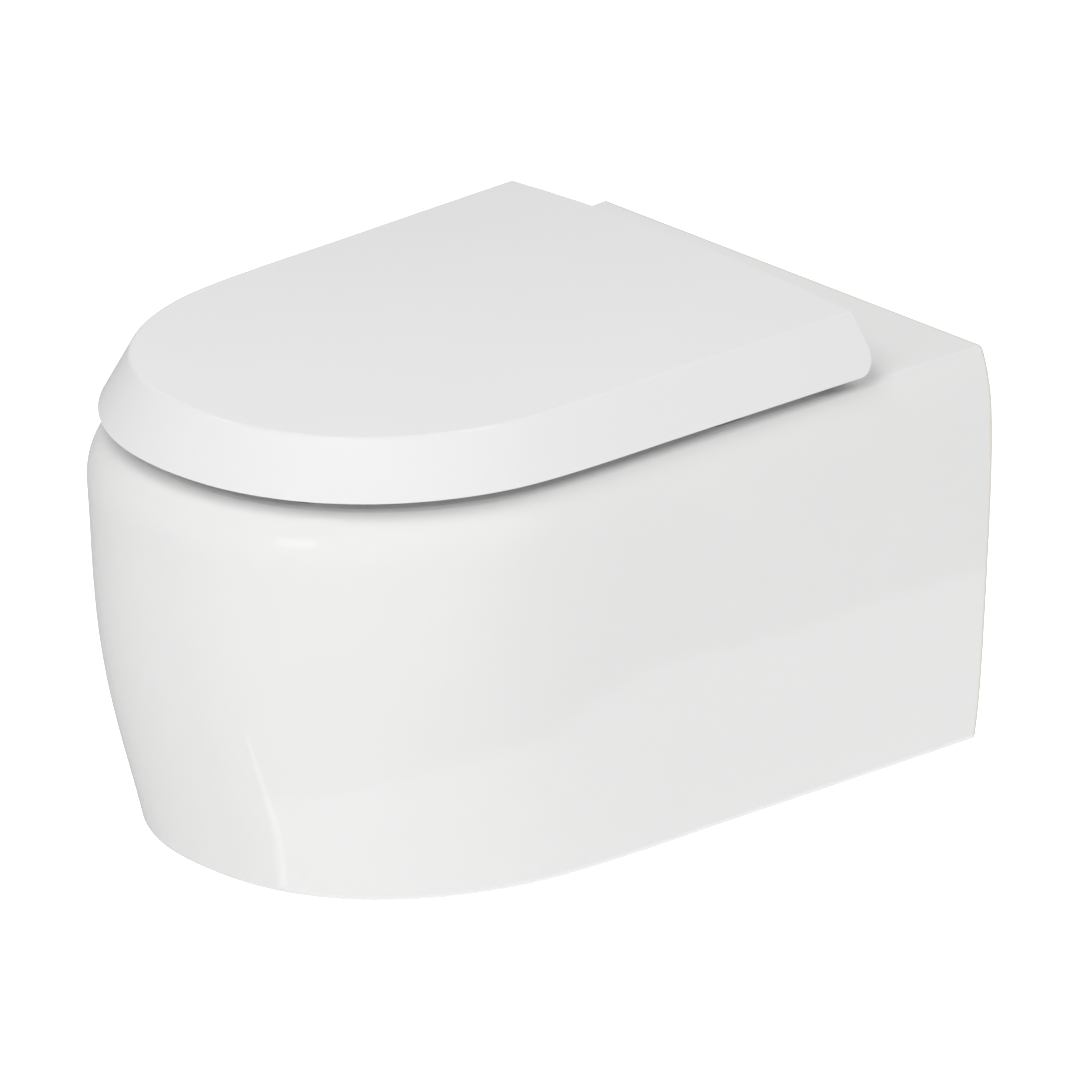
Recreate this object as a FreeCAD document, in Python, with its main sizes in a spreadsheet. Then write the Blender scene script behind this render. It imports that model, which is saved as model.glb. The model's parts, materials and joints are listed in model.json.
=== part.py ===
"""Wall hung toilet: skirted ceramic pan with a wrap-over seat and lid.

Millimetres.  X is the width, the wall is the plane Y = 0, the pan reaches out along -Y and Z is up.
The origin is midway between the two wall studs, on the wall plane.
"""
import FreeCAD, Part
import Sketcher
import math
import os
import re

doc = FreeCAD.newDocument("wall_hung_toilet")

# ---------------------------------------------------------------- driving sizes

SIZES = {
    # ceramic pan: outer form
    "overall_length": 540,
    "overall_width": 367.2,
    "pan_depth": 270,
    "stud_above_base": 195,
    "widest_below_deck": 45,
    "shoulder_arc": 110,
    "flank_arc": 1740,
    "nose_below_deck": 28,
    "nose_inset_deck": 18,
    "nose_inset_base": 39,
    "side_taper": 0.023,
    "nose_round_deck": 184,
    "nose_round_base": 203.5,
    "nose_power_deck": 2.13,
    "nose_power_base": 2.28,
    "deck_edge_round": 4.5,
    "base_edge_round": 6,
    "skirt_wall": 11,
    "deck_wall": 14,
    "floor_wall": 12,
    # bowl and trap
    "rim_width": 44,
    "bowl_back": 146,
    "rim_lip": 16,
    "rim_undercut": 8,
    "rim_edge_round": 5,
    "bowl_wall": 10,
    "trap_bore": 64,
    "trap_wall": 9,
    "trap_bend": 48,
    "trap_rise_angle": 70,
    "trap_fall_angle": 55,
    "trap_floor_wall": 15,
    "water_seal": 50,
    "weir_setback": 120,
    "mouth_sink": 1,
    "mouth_rise": 2,
    "sump_front_setback": 190,
    "sump_back_setback": 128,
    # connections at the wall
    "outlet_drop": 100,
    "outlet_spigot": 102,
    "outlet_bore": 82,
    "outlet_length": 30,
    "outlet_setback": 3,
    "inlet_rise": 35,
    "inlet_socket": 56,
    "inlet_socket_length": 42,
    "inlet_bore": 44,
    "inlet_wall": 8,
    "distributor_width": 104,
    "distributor_slot": 20,
    "distributor_depth": 40,
    "distributor_overhang": 12,
    "distributor_housing": 50,
    "passage_setback": 24,
    "stud_spacing": 180,
    "stud_size": 12,
    "stud_hole": 24,
    "stud_reach_wall": 45,
    "stud_reach_room": 82,
    "stud_shank": 10.8,
    "stud_room_thread": 26,
    "stud_thread_behind_wall": 2,
    "stud_chamfer": 1,
    "lug_width": 54,
    "lug_length": 56,
    "lug_below_stud": 30,
    "sleeve_wall": 5.2,
    "sleeve_flange": 38,
    "sleeve_flange_thickness": 4,
    "sleeve_short": 4,
    "sleeve_play": 0.24,
    "washer_size": 34,
    "washer_thickness": 3,
    "nut_flats": 19,
    "nut_thickness": 10,
    "access_width": 52,
    "access_length": 76,
    "access_setback": 70,
    "flush_pipe": 44.8,
    "seal_length": 38,
    "seal_rib": 1.2,
    "seal_rib_ramp": 2,
    "seal_rib_crest": 1,
    "seal_lip": 3,
    "seal_mouth_chamfer": 2,
    # seat hinge hardware
    "hinge_spacing": 155,
    "hinge_setback": 108,
    "hinge_rise": 22,
    "seat_hole": 14,
    "disc_size": 44,
    "disc_thickness": 5,
    "disc_chamfer": 2,
    "bolt_shank": 8,
    "bolt_chamfer": 1,
    "bolt_below_deck": 46,
    "bolt_collar": 15,
    "bolt_collar_thickness": 2,
    "post_size": 9,
    "post_length": 11,
    "post_chamfer": 1.5,
    "post_headroom": 0.7,
    "neck_size": 6,
    "neck_start": 4.2,
    "neck_length": 2.6,
    "neck_shoulder": 1,
    "plug_length": 28,
    "plug_flare": 2.2,
    "plug_flare_depth": 3,
    "cone_nut_length": 12,
    "cone_nut_play": 0.4,
    "cone_rise": 2.8,
    "cone_root": 2,
    "cone_tip": 0.1,
    "block_width": 24,
    "block_round": 11,
    "pin_size": 7,
    "pin_outer_reach": 28,
    "pin_inner_reach": 26,
    "pin_end_gap": 0.5,
    "pin_chamfer": 0.6,
    "knuckle_size": 18,
    "damper_size": 12.4,
    "damper_length": 32,
    "damper_cover": 4,
    "damper_chamfer": 0.6,
    "button_width": 13,
    "button_thickness": 6,
    "button_body": 4.6,
    "button_proud": 1.2,
    "button_round": 1,
    "button_travel": 2,
    "button_play": 0.2,
    "button_nose": 2.2,
    "button_nose_sink": 0.4,
    "button_nose_root": 4.4,
    "button_nose_tip": 1.6,
    "clip_wire": 1.6,
    "clip_tail": 1,
    "clip_slot_front_wall": 2,
    "clip_slot_back_wall": 1,
    # lid and seat
    "lid_gap": 8,
    "lid_depth": 36,
    "lid_side_inset": 3.7,
    "lid_side_slope": 22.4,
    "lid_front_inset": 7,
    "lid_front_slope": 21,
    "lid_nose_round": 184.7,
    "lid_top_nose_round": 177.8,
    "lid_nose_power": 2.125,
    "lid_top_nose_power": 2.226,
    "lid_taper": 0.022,
    "lid_top_taper": 0.011,
    "lid_dome": 6,
    "lid_back_round": 14,
    "lid_back_lean": 8.5,
    "lid_crease_round": 3.5,
    "lid_wall": 4,
    "lid_void_drop": 3,
    "lid_knuckle_inset": 0.5,
    "lid_web_setback": 4,
    "lid_notch_reach": 22,
    "lid_notch_roof": 2,
    "lid_back_notch_rise": 5,
    "lid_back_notch_reach": 24,
    "seat_clearance": 2.5,
    "seat_gap": 9,
    "seat_thickness": 22,
    "seat_inner_half_width": 112,
    "seat_inner_front": 76,
    "seat_inner_back": 186,
    "seat_back": 126,
    "seat_edge_round": 5,
    "seat_inner_round": 8,
    "seat_arm_thickness": 12,
    "seat_arm_overlap": 3,
    "buffer_length": 34,
    "buffer_width": 14,
    "buffer_peg": 5,
    "buffer_peg_length": 6,
    "buffer_round": 1.5,
    "buffer_inset": 6,
    "buffer_back_setback": 60,
    "lid_buffer_setback": 10,
    # fits
    "running_clearance": 0.06,
    "side_clearance": 1.5,
    "seating_gap": 0.3,
}

sheet = doc.addObject("Spreadsheet::Sheet", "sizes")
for row, (alias, value) in enumerate(SIZES.items(), start=1):
    sheet.set("A%d" % row, alias)
    sheet.set("B%d" % row, str(value))
    sheet.setAlias("B%d" % row, alias)
doc.recompute()


def bound(expression):
    """The expression with every size named in it pointed at its cell in the sheet."""
    return re.sub(r"[a-z][a-z_]+", lambda word: "sizes." + word.group(0)
                  if word.group(0) in SIZES else word.group(0), str(expression))


def num(expression):
    """The number that an expression in named sizes comes to."""
    result = sheet.evalExpression(bound(expression))
    return float(getattr(result, "Value", result))


# heights and places that several pieces share, as expressions in the named sizes
DECK = "(pan_depth - stud_above_base)"
BASE = "(-stud_above_base)"
DECK_UNDERSIDE = f"({DECK} - deck_wall)"
FLOOR_TOP = f"({BASE} + floor_wall)"
HINGE_Y = "(-hinge_setback)"
HINGE_Z = f"({DECK} + hinge_rise)"
LID_EDGE = f"({DECK} + lid_gap)"
LID_CREASE = f"({DECK} + lid_gap + lid_depth)"
LID_HALF_WIDTH = "(overall_width / 2 - lid_side_inset)"
LID_TOP_HALF_WIDTH = f"({LID_HALF_WIDTH} - lid_side_slope)"
LID_REACH = "(overall_length - lid_front_inset)"
LID_TOP_REACH = f"({LID_REACH} - lid_front_slope)"
SEAT_UNDERSIDE = f"({DECK} + seat_gap)"
SEAT_TOP = f"({DECK} + seat_gap + seat_thickness)"
DISC_TOP = f"({DECK} + disc_thickness)"
OUTLET_Z = "(-outlet_drop)"
PAST = "4"         # how far a cutting tool runs past the face that it cuts
SINK = "2"         # how far a joined piece runs into its neighbour
MARGIN = "20"      # how far the largest tools reach past the lid

# ---------------------------------------------------------------- building blocks

TURN = {"X": ((0, 1, 0), 90), "Y": ((1, 0, 0), -90), "Z": ((0, 0, 1), 0)}


def place(obj, at, direction="Z"):
    """Stand an object at a point given in named sizes, its own Z turned to the direction."""
    axis, angle = TURN[direction]
    obj.Placement = FreeCAD.Placement(FreeCAD.Vector(0, 0, 0), FreeCAD.Rotation(FreeCAD.Vector(*axis), angle))
    for letter, expression in zip("xyz", at):
        obj.setExpression("Placement.Base." + letter, bound(expression))
    return obj


def cylinder(name, radius, length, at, direction="Z"):
    """A round bar from a point along a direction."""
    obj = doc.addObject("Part::Cylinder", name)
    obj.setExpression("Radius", bound(radius))
    obj.setExpression("Height", bound(length))
    return place(obj, at, direction)


def cone(name, radius_start, radius_end, length, at, direction="Z"):
    """A tapered round bar from a point along a direction."""
    obj = doc.addObject("Part::Cone", name)
    obj.setExpression("Radius1", bound(radius_start))
    obj.setExpression("Radius2", bound(radius_end))
    obj.setExpression("Height", bound(length))
    return place(obj, at, direction)


def box(name, size, corner):
    """A block from its lowest corner."""
    obj = doc.addObject("Part::Box", name)
    for side, expression in zip(("Length", "Width", "Height"), size):
        obj.setExpression(side, bound(expression))
    return place(obj, corner)


def fuse(name, pieces):
    """Join pieces into one."""
    obj = doc.addObject("Part::MultiFuse", name)
    obj.Shapes = pieces
    obj.Refine = True
    return obj


def common(name, pieces):
    """What all the pieces share."""
    obj = doc.addObject("Part::MultiCommon", name)
    obj.Shapes = pieces
    return obj


def cut(name, base, tools):
    """Take tools away from a base."""
    obj = doc.addObject("Part::Cut", name)
    obj.Base = base
    obj.Tool = tools[0] if len(tools) == 1 else fuse(name + "_tools", tools)
    return obj


def group(name, pieces):
    """Identical separate pieces under one name."""
    obj = doc.addObject("Part::Compound", name)
    obj.Links = pieces
    return obj


def rounded(name, base, radius, wanted):
    """Round those edges of a shape that a test picks out."""
    doc.recompute()
    size = num(radius)
    edges = [(index, size, size) for index, edge in enumerate(base.Shape.Edges, start=1) if wanted(edge)]
    obj = doc.addObject("Part::Fillet", name)
    obj.Base = base
    obj.Edges = edges
    return obj


def flat_at(edge, level, tolerance=0.02):
    """Whether an edge lies wholly at one height."""
    limits = edge.BoundBox
    return abs(limits.ZMin - level) < tolerance and abs(limits.ZMax - level) < tolerance


def plane_turn(plane):
    """The turn that lays a sketch in a named plane: its own x and y along the plane's two letters."""
    turns = {
        "XY": FreeCAD.Rotation(),
        "XZ": FreeCAD.Rotation(FreeCAD.Vector(1, 0, 0), 90),
        "YZ": FreeCAD.Rotation(FreeCAD.Vector(1, 1, 1), 120),
    }
    return turns[plane]


def sketch_at(name, plane, offset):
    """An empty sketch in a plane, moved to its offset along the world axis that the plane lacks."""
    obj = doc.addObject("Sketcher::SketchObject", name)
    obj.Placement = FreeCAD.Placement(FreeCAD.Vector(0, 0, 0), plane_turn(plane))
    letter = {"XY": "z", "XZ": "y", "YZ": "x"}[plane]
    obj.setExpression("Placement.Base." + letter, bound(offset))
    return obj


def draw_profile(sketch, corners):
    """Draw a closed straight-sided profile, each corner held at two named distances."""
    values = [tuple(num(part) for part in corner) for corner in corners]
    count = len(corners)
    for index in range(count):
        start = FreeCAD.Vector(*values[index], 0)
        end = FreeCAD.Vector(*values[(index + 1) % count], 0)
        sketch.addGeometry(Part.LineSegment(start, end), False)
    for index in range(count):
        sketch.addConstraint(Sketcher.Constraint("Coincident", index, 2, (index + 1) % count, 1))
    for index in range(count):
        for kind, part, value in zip(("DistanceX", "DistanceY"), corners[index], values[index]):
            row = sketch.addConstraint(Sketcher.Constraint(kind, -1, 1, index, 1, value))
            sketch.setExpression("Constraints[%d]" % row, bound(part))
    return sketch


def origin_plane(body, role):
    """One of a body's own origin planes."""
    return next(item for item in body.Origin.OriginFeatures if item.Role == role)


def turned(name, corners, at, direction="Z"):
    """A body of revolution about its own Z axis, from the corners (radius, height) of its half section."""
    body = doc.addObject("PartDesign::Body", name)
    sketch = body.newObject("Sketcher::SketchObject", name + "_section")
    sketch.AttachmentSupport = [(origin_plane(body, "XZ_Plane"), "")]
    sketch.MapMode = "FlatFace"
    draw_profile(sketch, corners)
    doc.recompute()
    revolution = body.newObject("PartDesign::Revolution", name + "_turned")
    revolution.Profile = sketch
    revolution.ReferenceAxis = (sketch, ["V_Axis"])
    revolution.Angle = 360
    body.Tip = revolution
    return place(body, at, direction)


def extruded(name, plane, start, end, corners):
    """A prism between two offsets, from the corners of its profile in a plane."""
    sketch = draw_profile(sketch_at(name + "_profile", plane, start), corners)
    obj = doc.addObject("Part::Extrusion", name)
    obj.Base = sketch
    obj.DirMode = "Custom"
    obj.Dir = {"XY": FreeCAD.Vector(0, 0, 1), "XZ": FreeCAD.Vector(0, 1, 0), "YZ": FreeCAD.Vector(1, 0, 0)}[plane]
    obj.setExpression("LengthFwd", bound(f"({end}) - ({start})"))
    obj.Solid = True
    return obj


def loft(name, sections, ruled=False):
    """A solid skinned through closed sketches."""
    obj = doc.addObject("Part::Loft", name)
    obj.Sections = sections
    obj.Solid = True
    obj.Ruled = ruled
    return obj


# ---------------------------------------------------------------- outlines by formula

SIDE_STEPS = 4
SIDE_SPACING = 2.0          # the curve's own length for a step along the side
NOSE_STEPS = 8
NOSE_SPACING = 1.0          # and for one round the nose
RING_STEPS = 24
WIDEST_SHARE = 0.46         # of an egg's length, from its back to its widest line


def d_outline(sketch, half_width, taper, length, nose, power, back):
    """Draw a D: two sides that taper towards a nose, x = (w + k y)(1 - ((n - y) / b)^p)^(1/p).

    w is the half width at the wall, k the taper, n the line where the nose starts, b the nose's
    own length and p the power that sets how full its corners are.  The back is straight.
    """
    start = nose - length
    side = []
    steps = []
    for index in range(SIDE_STEPS):
        y = back + (start - back) * index / SIDE_STEPS
        side.append((half_width + taper * y, y))
        steps.append(SIDE_SPACING)
    for index in range(NOSE_STEPS + 1):
        angle = math.pi / 2 * index / NOSE_STEPS
        y = start - nose * math.sin(angle) ** (2 / power)
        reach = max(math.cos(angle), 0.0) ** (2 / power)
        side.append(((half_width + taper * y) * reach, y))
        steps.append(NOSE_SPACING)
    points = side + [(-x, y) for x, y in reversed(side[:-1])]
    gaps = steps[:-1] + list(reversed(steps[:-1]))
    knots = [0.0]
    for gap in gaps:
        knots.append(knots[-1] + gap)
    curve = Part.BSplineCurve()
    curve.interpolate(Points=[FreeCAD.Vector(x, y, 0) for x, y in points], Parameters=knots)
    sketch.addGeometry(curve, False)
    sketch.addGeometry(Part.LineSegment(curve.EndPoint, curve.StartPoint), False)
    return sketch


def egg_outline(sketch, half_width, front, back, power, grow=0.0):
    """Draw an egg: a superellipse whose widest line lies nearer its back than its front."""
    widest = back + (front - back) * WIDEST_SHARE
    points = []
    for index in range(RING_STEPS):
        angle = 2 * math.pi * index / RING_STEPS
        reach = abs(math.cos(angle)) ** (2 / power) * math.copysign(1, math.cos(angle))
        rise = abs(math.sin(angle)) ** (2 / power) * math.copysign(1, math.sin(angle))
        half = (back - widest) + grow if rise > 0 else (widest - front) + grow
        points.append(FreeCAD.Vector((half_width + grow) * reach, widest + half * rise, 0))
    curve = Part.BSplineCurve()
    curve.interpolate(Points=points, PeriodicFlag=True)
    sketch.addGeometry(curve, False)
    return sketch


# ---------------------------------------------------------------- ceramic pan: outer form


def pan_section(name, depth, inset=0.0, back=0.0):
    """A level section of the pan's outside at a depth below the deck, drawn in by an inset.

    The side swells out from the deck along one arc to its widest line and falls in along a flatter
    arc to the base.  The nose does the same along two parabolas of its own.
    """
    below = num(depth)
    widest = num("widest_below_deck")
    arc = num("shoulder_arc") if below < widest else num("flank_arc")
    half_width = num("overall_width / 2") - (arc - math.sqrt(arc ** 2 - (below - widest) ** 2))
    nose_line = num("nose_below_deck")
    if below < nose_line:
        fall = num("nose_inset_deck") * ((nose_line - below) / nose_line) ** 2
    else:
        fall = num("nose_inset_base") * ((below - nose_line) / (num("pan_depth") - nose_line)) ** 2
    share = below / num("pan_depth")
    nose = num("nose_round_deck") + share * num("nose_round_base - nose_round_deck")
    power = num("nose_power_deck") + share * num("nose_power_base - nose_power_deck")
    sketch = sketch_at(name, "XY", f"{DECK} - ({depth})")
    return d_outline(sketch, half_width - inset, num("side_taper"), num("overall_length") - fall - inset,
                     nose - inset, power, back)


OUTER_DEPTHS = ["0", "widest_below_deck * 0.18", "widest_below_deck * 0.45", "widest_below_deck",
                "pan_depth * 0.42", "pan_depth * 0.7", "pan_depth"]
outer_form = loft("pan_outer_form", [pan_section(f"pan_level_{index}", depth)
                                     for index, depth in enumerate(OUTER_DEPTHS)])
doc.recompute()


def is_outer_rim(level):
    """A test for the long curved edge that runs round the nose at one height."""
    return lambda edge: flat_at(edge, level) and edge.BoundBox.YLength > num("overall_length") * 0.5


deck_rounded = rounded("pan_deck_rounded", outer_form, "deck_edge_round", is_outer_rim(num(DECK)))
pan_outer = rounded("pan_outer", deck_rounded, "base_edge_round", is_outer_rim(num(BASE)))

VOID_DEPTHS = ["deck_wall", "widest_below_deck", "pan_depth * 0.45", "pan_depth * 0.72", "pan_depth - floor_wall"]
pan_void = loft("pan_void", [pan_section(f"void_level_{index}", depth, num("skirt_wall"), num(PAST))
                             for index, depth in enumerate(VOID_DEPTHS)])
pan_skirt = cut("pan_skirt", pan_outer, [pan_void])

# ---------------------------------------------------------------- ceramic pan: bowl

# one row for each level of the bowl: share of its depth, share of the half width,
# share of the run from the mouth's front towards the sump, and of the run from its back
BOWL_ROWS = [
    (0.00, 1.00, 0.00, 0.00),
    (0.10, 0.98, 0.02, 0.03),
    (0.25, 0.87, 0.13, 0.31),
    (0.41, 0.70, 0.31, 0.68),
    (0.52, 0.56, 0.46, 0.79),
    (0.71, 0.37, 0.76, 0.92),
    (1.00, 0.24, 1.00, 1.00),
]
MOUTH_HALF_WIDTH = num("overall_width / 2 - rim_width - widest_below_deck ^ 2 / (2 * shoulder_arc)")
MOUTH_FRONT = num("rim_width + nose_inset_deck - overall_length")
MOUTH_BACK = num("-bowl_back")
BOWL_TOP = num(f"{DECK} - rim_lip")
SUMP_FLOOR = num(f"{BASE} + trap_floor_wall")
SUMP_FRONT = num("-hinge_setback - sump_front_setback")
SUMP_BACK = num("-hinge_setback - sump_back_setback")
BOWL_POWER = 2.2
UNDERCUT = num("rim_undercut")


def bowl_section(name, row, grow, level):
    """A level section of the bowl, grown outwards by a wall where it makes the bowl's outside."""
    drop, width, front, back = row
    sketch = sketch_at(name, "XY", str(level))
    return egg_outline(sketch, (MOUTH_HALF_WIDTH + UNDERCUT) * width,
                       MOUTH_FRONT - UNDERCUT + (SUMP_FRONT - MOUTH_FRONT + UNDERCUT) * front,
                       MOUTH_BACK + UNDERCUT + (SUMP_BACK - MOUTH_BACK - UNDERCUT) * back,
                       BOWL_POWER, grow)


def bowl_level(row):
    """The height of a row of the bowl."""
    return BOWL_TOP + (SUMP_FLOOR - BOWL_TOP) * row[0]


bowl_inside = loft("bowl_inside", [bowl_section(f"bowl_level_{index}", row, 0.0, bowl_level(row))
                                   for index, row in enumerate(BOWL_ROWS)])
shell_rows = [bowl_section("bowl_shell_top", BOWL_ROWS[0], num("bowl_wall"), num(f"{DECK} - deck_wall / 2"))]
shell_rows += [bowl_section(f"bowl_shell_level_{index}", row, num("bowl_wall"), bowl_level(row))
               for index, row in enumerate(BOWL_ROWS[1:-1])]
shell_rows += [bowl_section("bowl_shell_bottom", BOWL_ROWS[-1], num("bowl_wall"),
                            num(f"{FLOOR_TOP} - floor_wall / 2"))]
bowl_shell = loft("bowl_shell", shell_rows)



def upright_prism(name, outline, height):
    """A prism that rises from a level outline."""
    obj = doc.addObject("Part::Extrusion", name)
    obj.Base = outline
    obj.DirMode = "Custom"
    obj.Dir = FreeCAD.Vector(0, 0, 1)
    obj.setExpression("LengthFwd", bound(height))
    obj.Solid = True
    return obj


mouth = upright_prism("bowl_mouth",
                      egg_outline(sketch_at("mouth_outline", "XY", f"{DECK} - rim_lip - mouth_sink"), MOUTH_HALF_WIDTH,
                                  MOUTH_FRONT, MOUTH_BACK, BOWL_POWER),
                      "rim_lip + mouth_sink + mouth_rise")

# ---------------------------------------------------------------- ceramic pan: trap

OUTLET_BORE_DEPTH = "(outlet_length * 0.6)"     # the wide end of the outlet, from its mouth in


def trap_route():
    """Edges of the trap's centre line in the plane X = 0, from the sump over the weir to the outlet.

    Level out of the sump, up along an arc, straight up to the weir arc, down behind it and level
    again into the outlet.  The weir's height leaves the water seal above the lip.
    """
    bend = num("trap_bend")
    bore = num("trap_bore") / 2
    rise = math.radians(num("trap_rise_angle"))
    fall = math.radians(num("trap_fall_angle"))
    low = num(f"{BASE} + trap_floor_wall") + bore
    crest = low + num("water_seal") + 2 * bore
    weir = num("-weir_setback")
    outlet = num(OUTLET_Z)
    climb = crest - low - 2 * bend * (1 - math.cos(rise))
    first = weir - 2 * bend * math.sin(rise) - climb / math.tan(rise)
    up_end = (first + bend * math.sin(rise), low + bend * (1 - math.cos(rise)))
    weir_start = (weir - bend * math.sin(rise), crest - bend * (1 - math.cos(rise)))
    weir_end = (weir + bend * math.sin(fall), crest - bend * (1 - math.cos(fall)))
    drop = weir_end[1] - outlet - bend * (1 - math.cos(fall))
    fall_end = (weir_end[0] + drop / math.tan(fall), weir_end[1] - drop)
    level = (fall_end[0] + bend * math.sin(fall), outlet)
    up_middle = (first + bend * math.sin(rise / 2), low + bend * (1 - math.cos(rise / 2)))
    out_middle = (level[0] - bend * math.sin(fall / 2), outlet + bend * (1 - math.cos(fall / 2)))
    stations = [(first - bore, low), (first, low), up_middle, up_end, weir_start, (weir, crest), weir_end,
                fall_end, out_middle, level, (num(f"-outlet_setback - {OUTLET_BORE_DEPTH} / 2"), outlet)]
    sump, foot, up_bend, up_top, crest_start, weir_top, crest_end, fall_foot, out_bend, out, mouth_end = (
        FreeCAD.Vector(0, *station) for station in stations)
    return [
        Part.LineSegment(sump, foot),
        Part.Arc(foot, up_bend, up_top),
        Part.LineSegment(up_top, crest_start),
        Part.Arc(crest_start, weir_top, crest_end),
        Part.LineSegment(crest_end, fall_foot),
        Part.Arc(fall_foot, out_bend, out),
        Part.LineSegment(out, mouth_end),
    ]


trap_path = doc.addObject("Part::Feature", "trap_path")
trap_path.Shape = Part.Wire([edge.toShape() for edge in trap_route()])


def trap_tube(name, radius):
    """A round tube along the trap's centre line."""
    ring = doc.addObject("Part::Circle", name + "_ring")
    ring.setExpression("Radius", bound(radius))
    start = trap_path.Shape.Vertexes[0].Point
    ring.Placement = FreeCAD.Placement(start, FreeCAD.Rotation(FreeCAD.Vector(1, 0, 0), -90))
    tube = doc.addObject("Part::Sweep", name)
    tube.Sections = [ring]
    tube.Spine = (trap_path, ["Edge%d" % (index + 1) for index in range(len(trap_path.Shape.Edges))])
    tube.Solid = True
    tube.Frenet = False
    return tube


trap_shell = trap_tube("trap_shell", "trap_bore / 2 + trap_wall")
trap_passage = trap_tube("trap_passage", "trap_bore / 2")
outlet_spigot = cylinder("outlet_spigot", "outlet_spigot / 2", "outlet_length",
                         ("0", "-outlet_setback - outlet_length", OUTLET_Z), "Y")
outlet_bore = cylinder("outlet_bore", "outlet_bore / 2", f"{OUTLET_BORE_DEPTH} + {PAST}",
                       ("0", f"-outlet_setback - {OUTLET_BORE_DEPTH}", OUTLET_Z), "Y")

# ---------------------------------------------------------------- ceramic pan: flush inlet and rimless distributor

INLET_RADIUS = "(inlet_socket / 2 + inlet_wall)"
inlet_horn = cylinder("inlet_horn", INLET_RADIUS, "bowl_back", ("0", "-bowl_back", "inlet_rise"), "Y")
inlet_socket = cylinder("inlet_socket", "inlet_socket / 2", f"inlet_socket_length + {PAST}",
                        ("0", "-inlet_socket_length", "inlet_rise"), "Y")
inlet_passage = cylinder("inlet_passage", "inlet_bore / 2", "bowl_back - inlet_socket_length - passage_setback",
                         ("0", "passage_setback - bowl_back", "inlet_rise"), "Y")
DISTRIBUTOR_FLOOR = "(inlet_rise - inlet_socket / 2 - inlet_wall)"
distributor_block = box("distributor_block",
                        ("distributor_width + 2 * inlet_wall", "distributor_housing",
                         f"{DECK_UNDERSIDE} - {DISTRIBUTOR_FLOOR} + {SINK}"),
                        ("-distributor_width / 2 - inlet_wall", f"-bowl_back - {SINK}", DISTRIBUTOR_FLOOR))
distributor_slot = box("distributor_slot",
                       ("distributor_width", "distributor_depth + distributor_overhang", "distributor_slot"),
                       ("-distributor_width / 2", "-bowl_back - distributor_overhang",
                        "inlet_rise - distributor_slot / 2"))

# ---------------------------------------------------------------- ceramic pan: wall fixing and seat holes

SIDES = (("left", "-1"), ("right", "1"))


def pan_side_features(side, sign):
    """The fixing lug with its stud hole, the seat hole and the access opening on one side."""
    stud_x = f"{sign} * stud_spacing / 2"
    seat_x = f"{sign} * hinge_spacing / 2"
    lug = box(f"fixing_lug_{side}", ("lug_width", "lug_length", f"{DECK_UNDERSIDE} + lug_below_stud + {SINK}"),
              (f"{stud_x} - lug_width / 2", "-lug_length", "-lug_below_stud"))
    stud_hole = cylinder(f"stud_hole_{side}", "stud_hole / 2", f"lug_length + 2 * {PAST}",
                         (stud_x, f"-lug_length - {PAST}", "0"), "Y")
    seat_hole = cylinder(f"seat_hole_{side}", "seat_hole / 2", f"deck_wall + 2 * {PAST}",
                         (seat_x, HINGE_Y, f"{DECK_UNDERSIDE} - {PAST}"))
    access = box(f"access_{side}", ("access_width", "access_length", f"floor_wall + 2 * {PAST}"),
                 (f"{stud_x} - access_width / 2", "-access_setback - access_length / 2", f"{BASE} - {PAST}"))
    doc.recompute()
    access_round = rounded(f"access_round_{side}", access, "access_width / 4",
                           lambda edge: edge.BoundBox.ZLength > num("floor_wall"))
    return lug, stud_hole, seat_hole, access_round


side_features = [pan_side_features(side, sign) for side, sign in SIDES]
lugs = [features[0] for features in side_features]
holes = [hole for features in side_features for hole in features[1:]]

pan_casting = fuse("pan_casting", [pan_skirt, bowl_shell, trap_shell, outlet_spigot, inlet_horn,
                                   distributor_block] + lugs)
pan_hollowed = cut("pan_hollowed", pan_casting, [bowl_inside, mouth, trap_passage, outlet_bore, inlet_socket,
                                                 inlet_passage, distributor_slot] + holes)
doc.recompute()


def is_mouth_edge(edge):
    """The edge of the bowl's mouth in the deck."""
    limits = edge.BoundBox
    return flat_at(edge, num(DECK)) and limits.YMax < MOUTH_BACK + 1 and limits.YMin > MOUTH_FRONT - 1


ceramic_pan = rounded("ceramic_pan", pan_hollowed, "rim_edge_round", is_mouth_edge)
doc.recompute()

# ---------------------------------------------------------------- wall fixing set


def stud_x(sign):
    """Where a wall stud lies across the width."""
    return f"{sign} * stud_spacing / 2"


def wall_stud(side, sign):
    """A rod with a thread at each end, chamfered, and a thinner plain shank between them."""
    length = "(stud_reach_room + stud_reach_wall)"
    wall_thread = "(stud_reach_room - stud_thread_behind_wall)"
    corners = [("0", "0"), ("stud_size / 2 - stud_chamfer", "0"), ("stud_size / 2", "stud_chamfer"),
               ("stud_size / 2", "stud_room_thread"), ("stud_shank / 2", "stud_room_thread"),
               ("stud_shank / 2", wall_thread), ("stud_size / 2", wall_thread),
               ("stud_size / 2", f"{length} - stud_chamfer"), ("stud_size / 2 - stud_chamfer", length), ("0", length)]
    return turned(f"wall_stud_{side}", corners, (stud_x(sign), "-stud_reach_room", "0"), "Y")


LOOSE_ON_STUD = "(stud_size / 2 + sleeve_play)"


def stud_sleeve(side, sign):
    """A plastic sleeve that centres the rod in the ceramic hole, its flange on the lug's front."""
    outer = f"({LOOSE_ON_STUD} + sleeve_wall)"
    end = "(sleeve_flange_thickness + lug_length - sleeve_short)"
    corners = [(LOOSE_ON_STUD, "0"), ("sleeve_flange / 2", "0"), ("sleeve_flange / 2", "sleeve_flange_thickness"),
               (outer, "sleeve_flange_thickness"), (outer, end), (LOOSE_ON_STUD, end)]
    return turned(f"stud_sleeve_{side}", corners, (stud_x(sign), "-lug_length - sleeve_flange_thickness", "0"), "Y")


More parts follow.
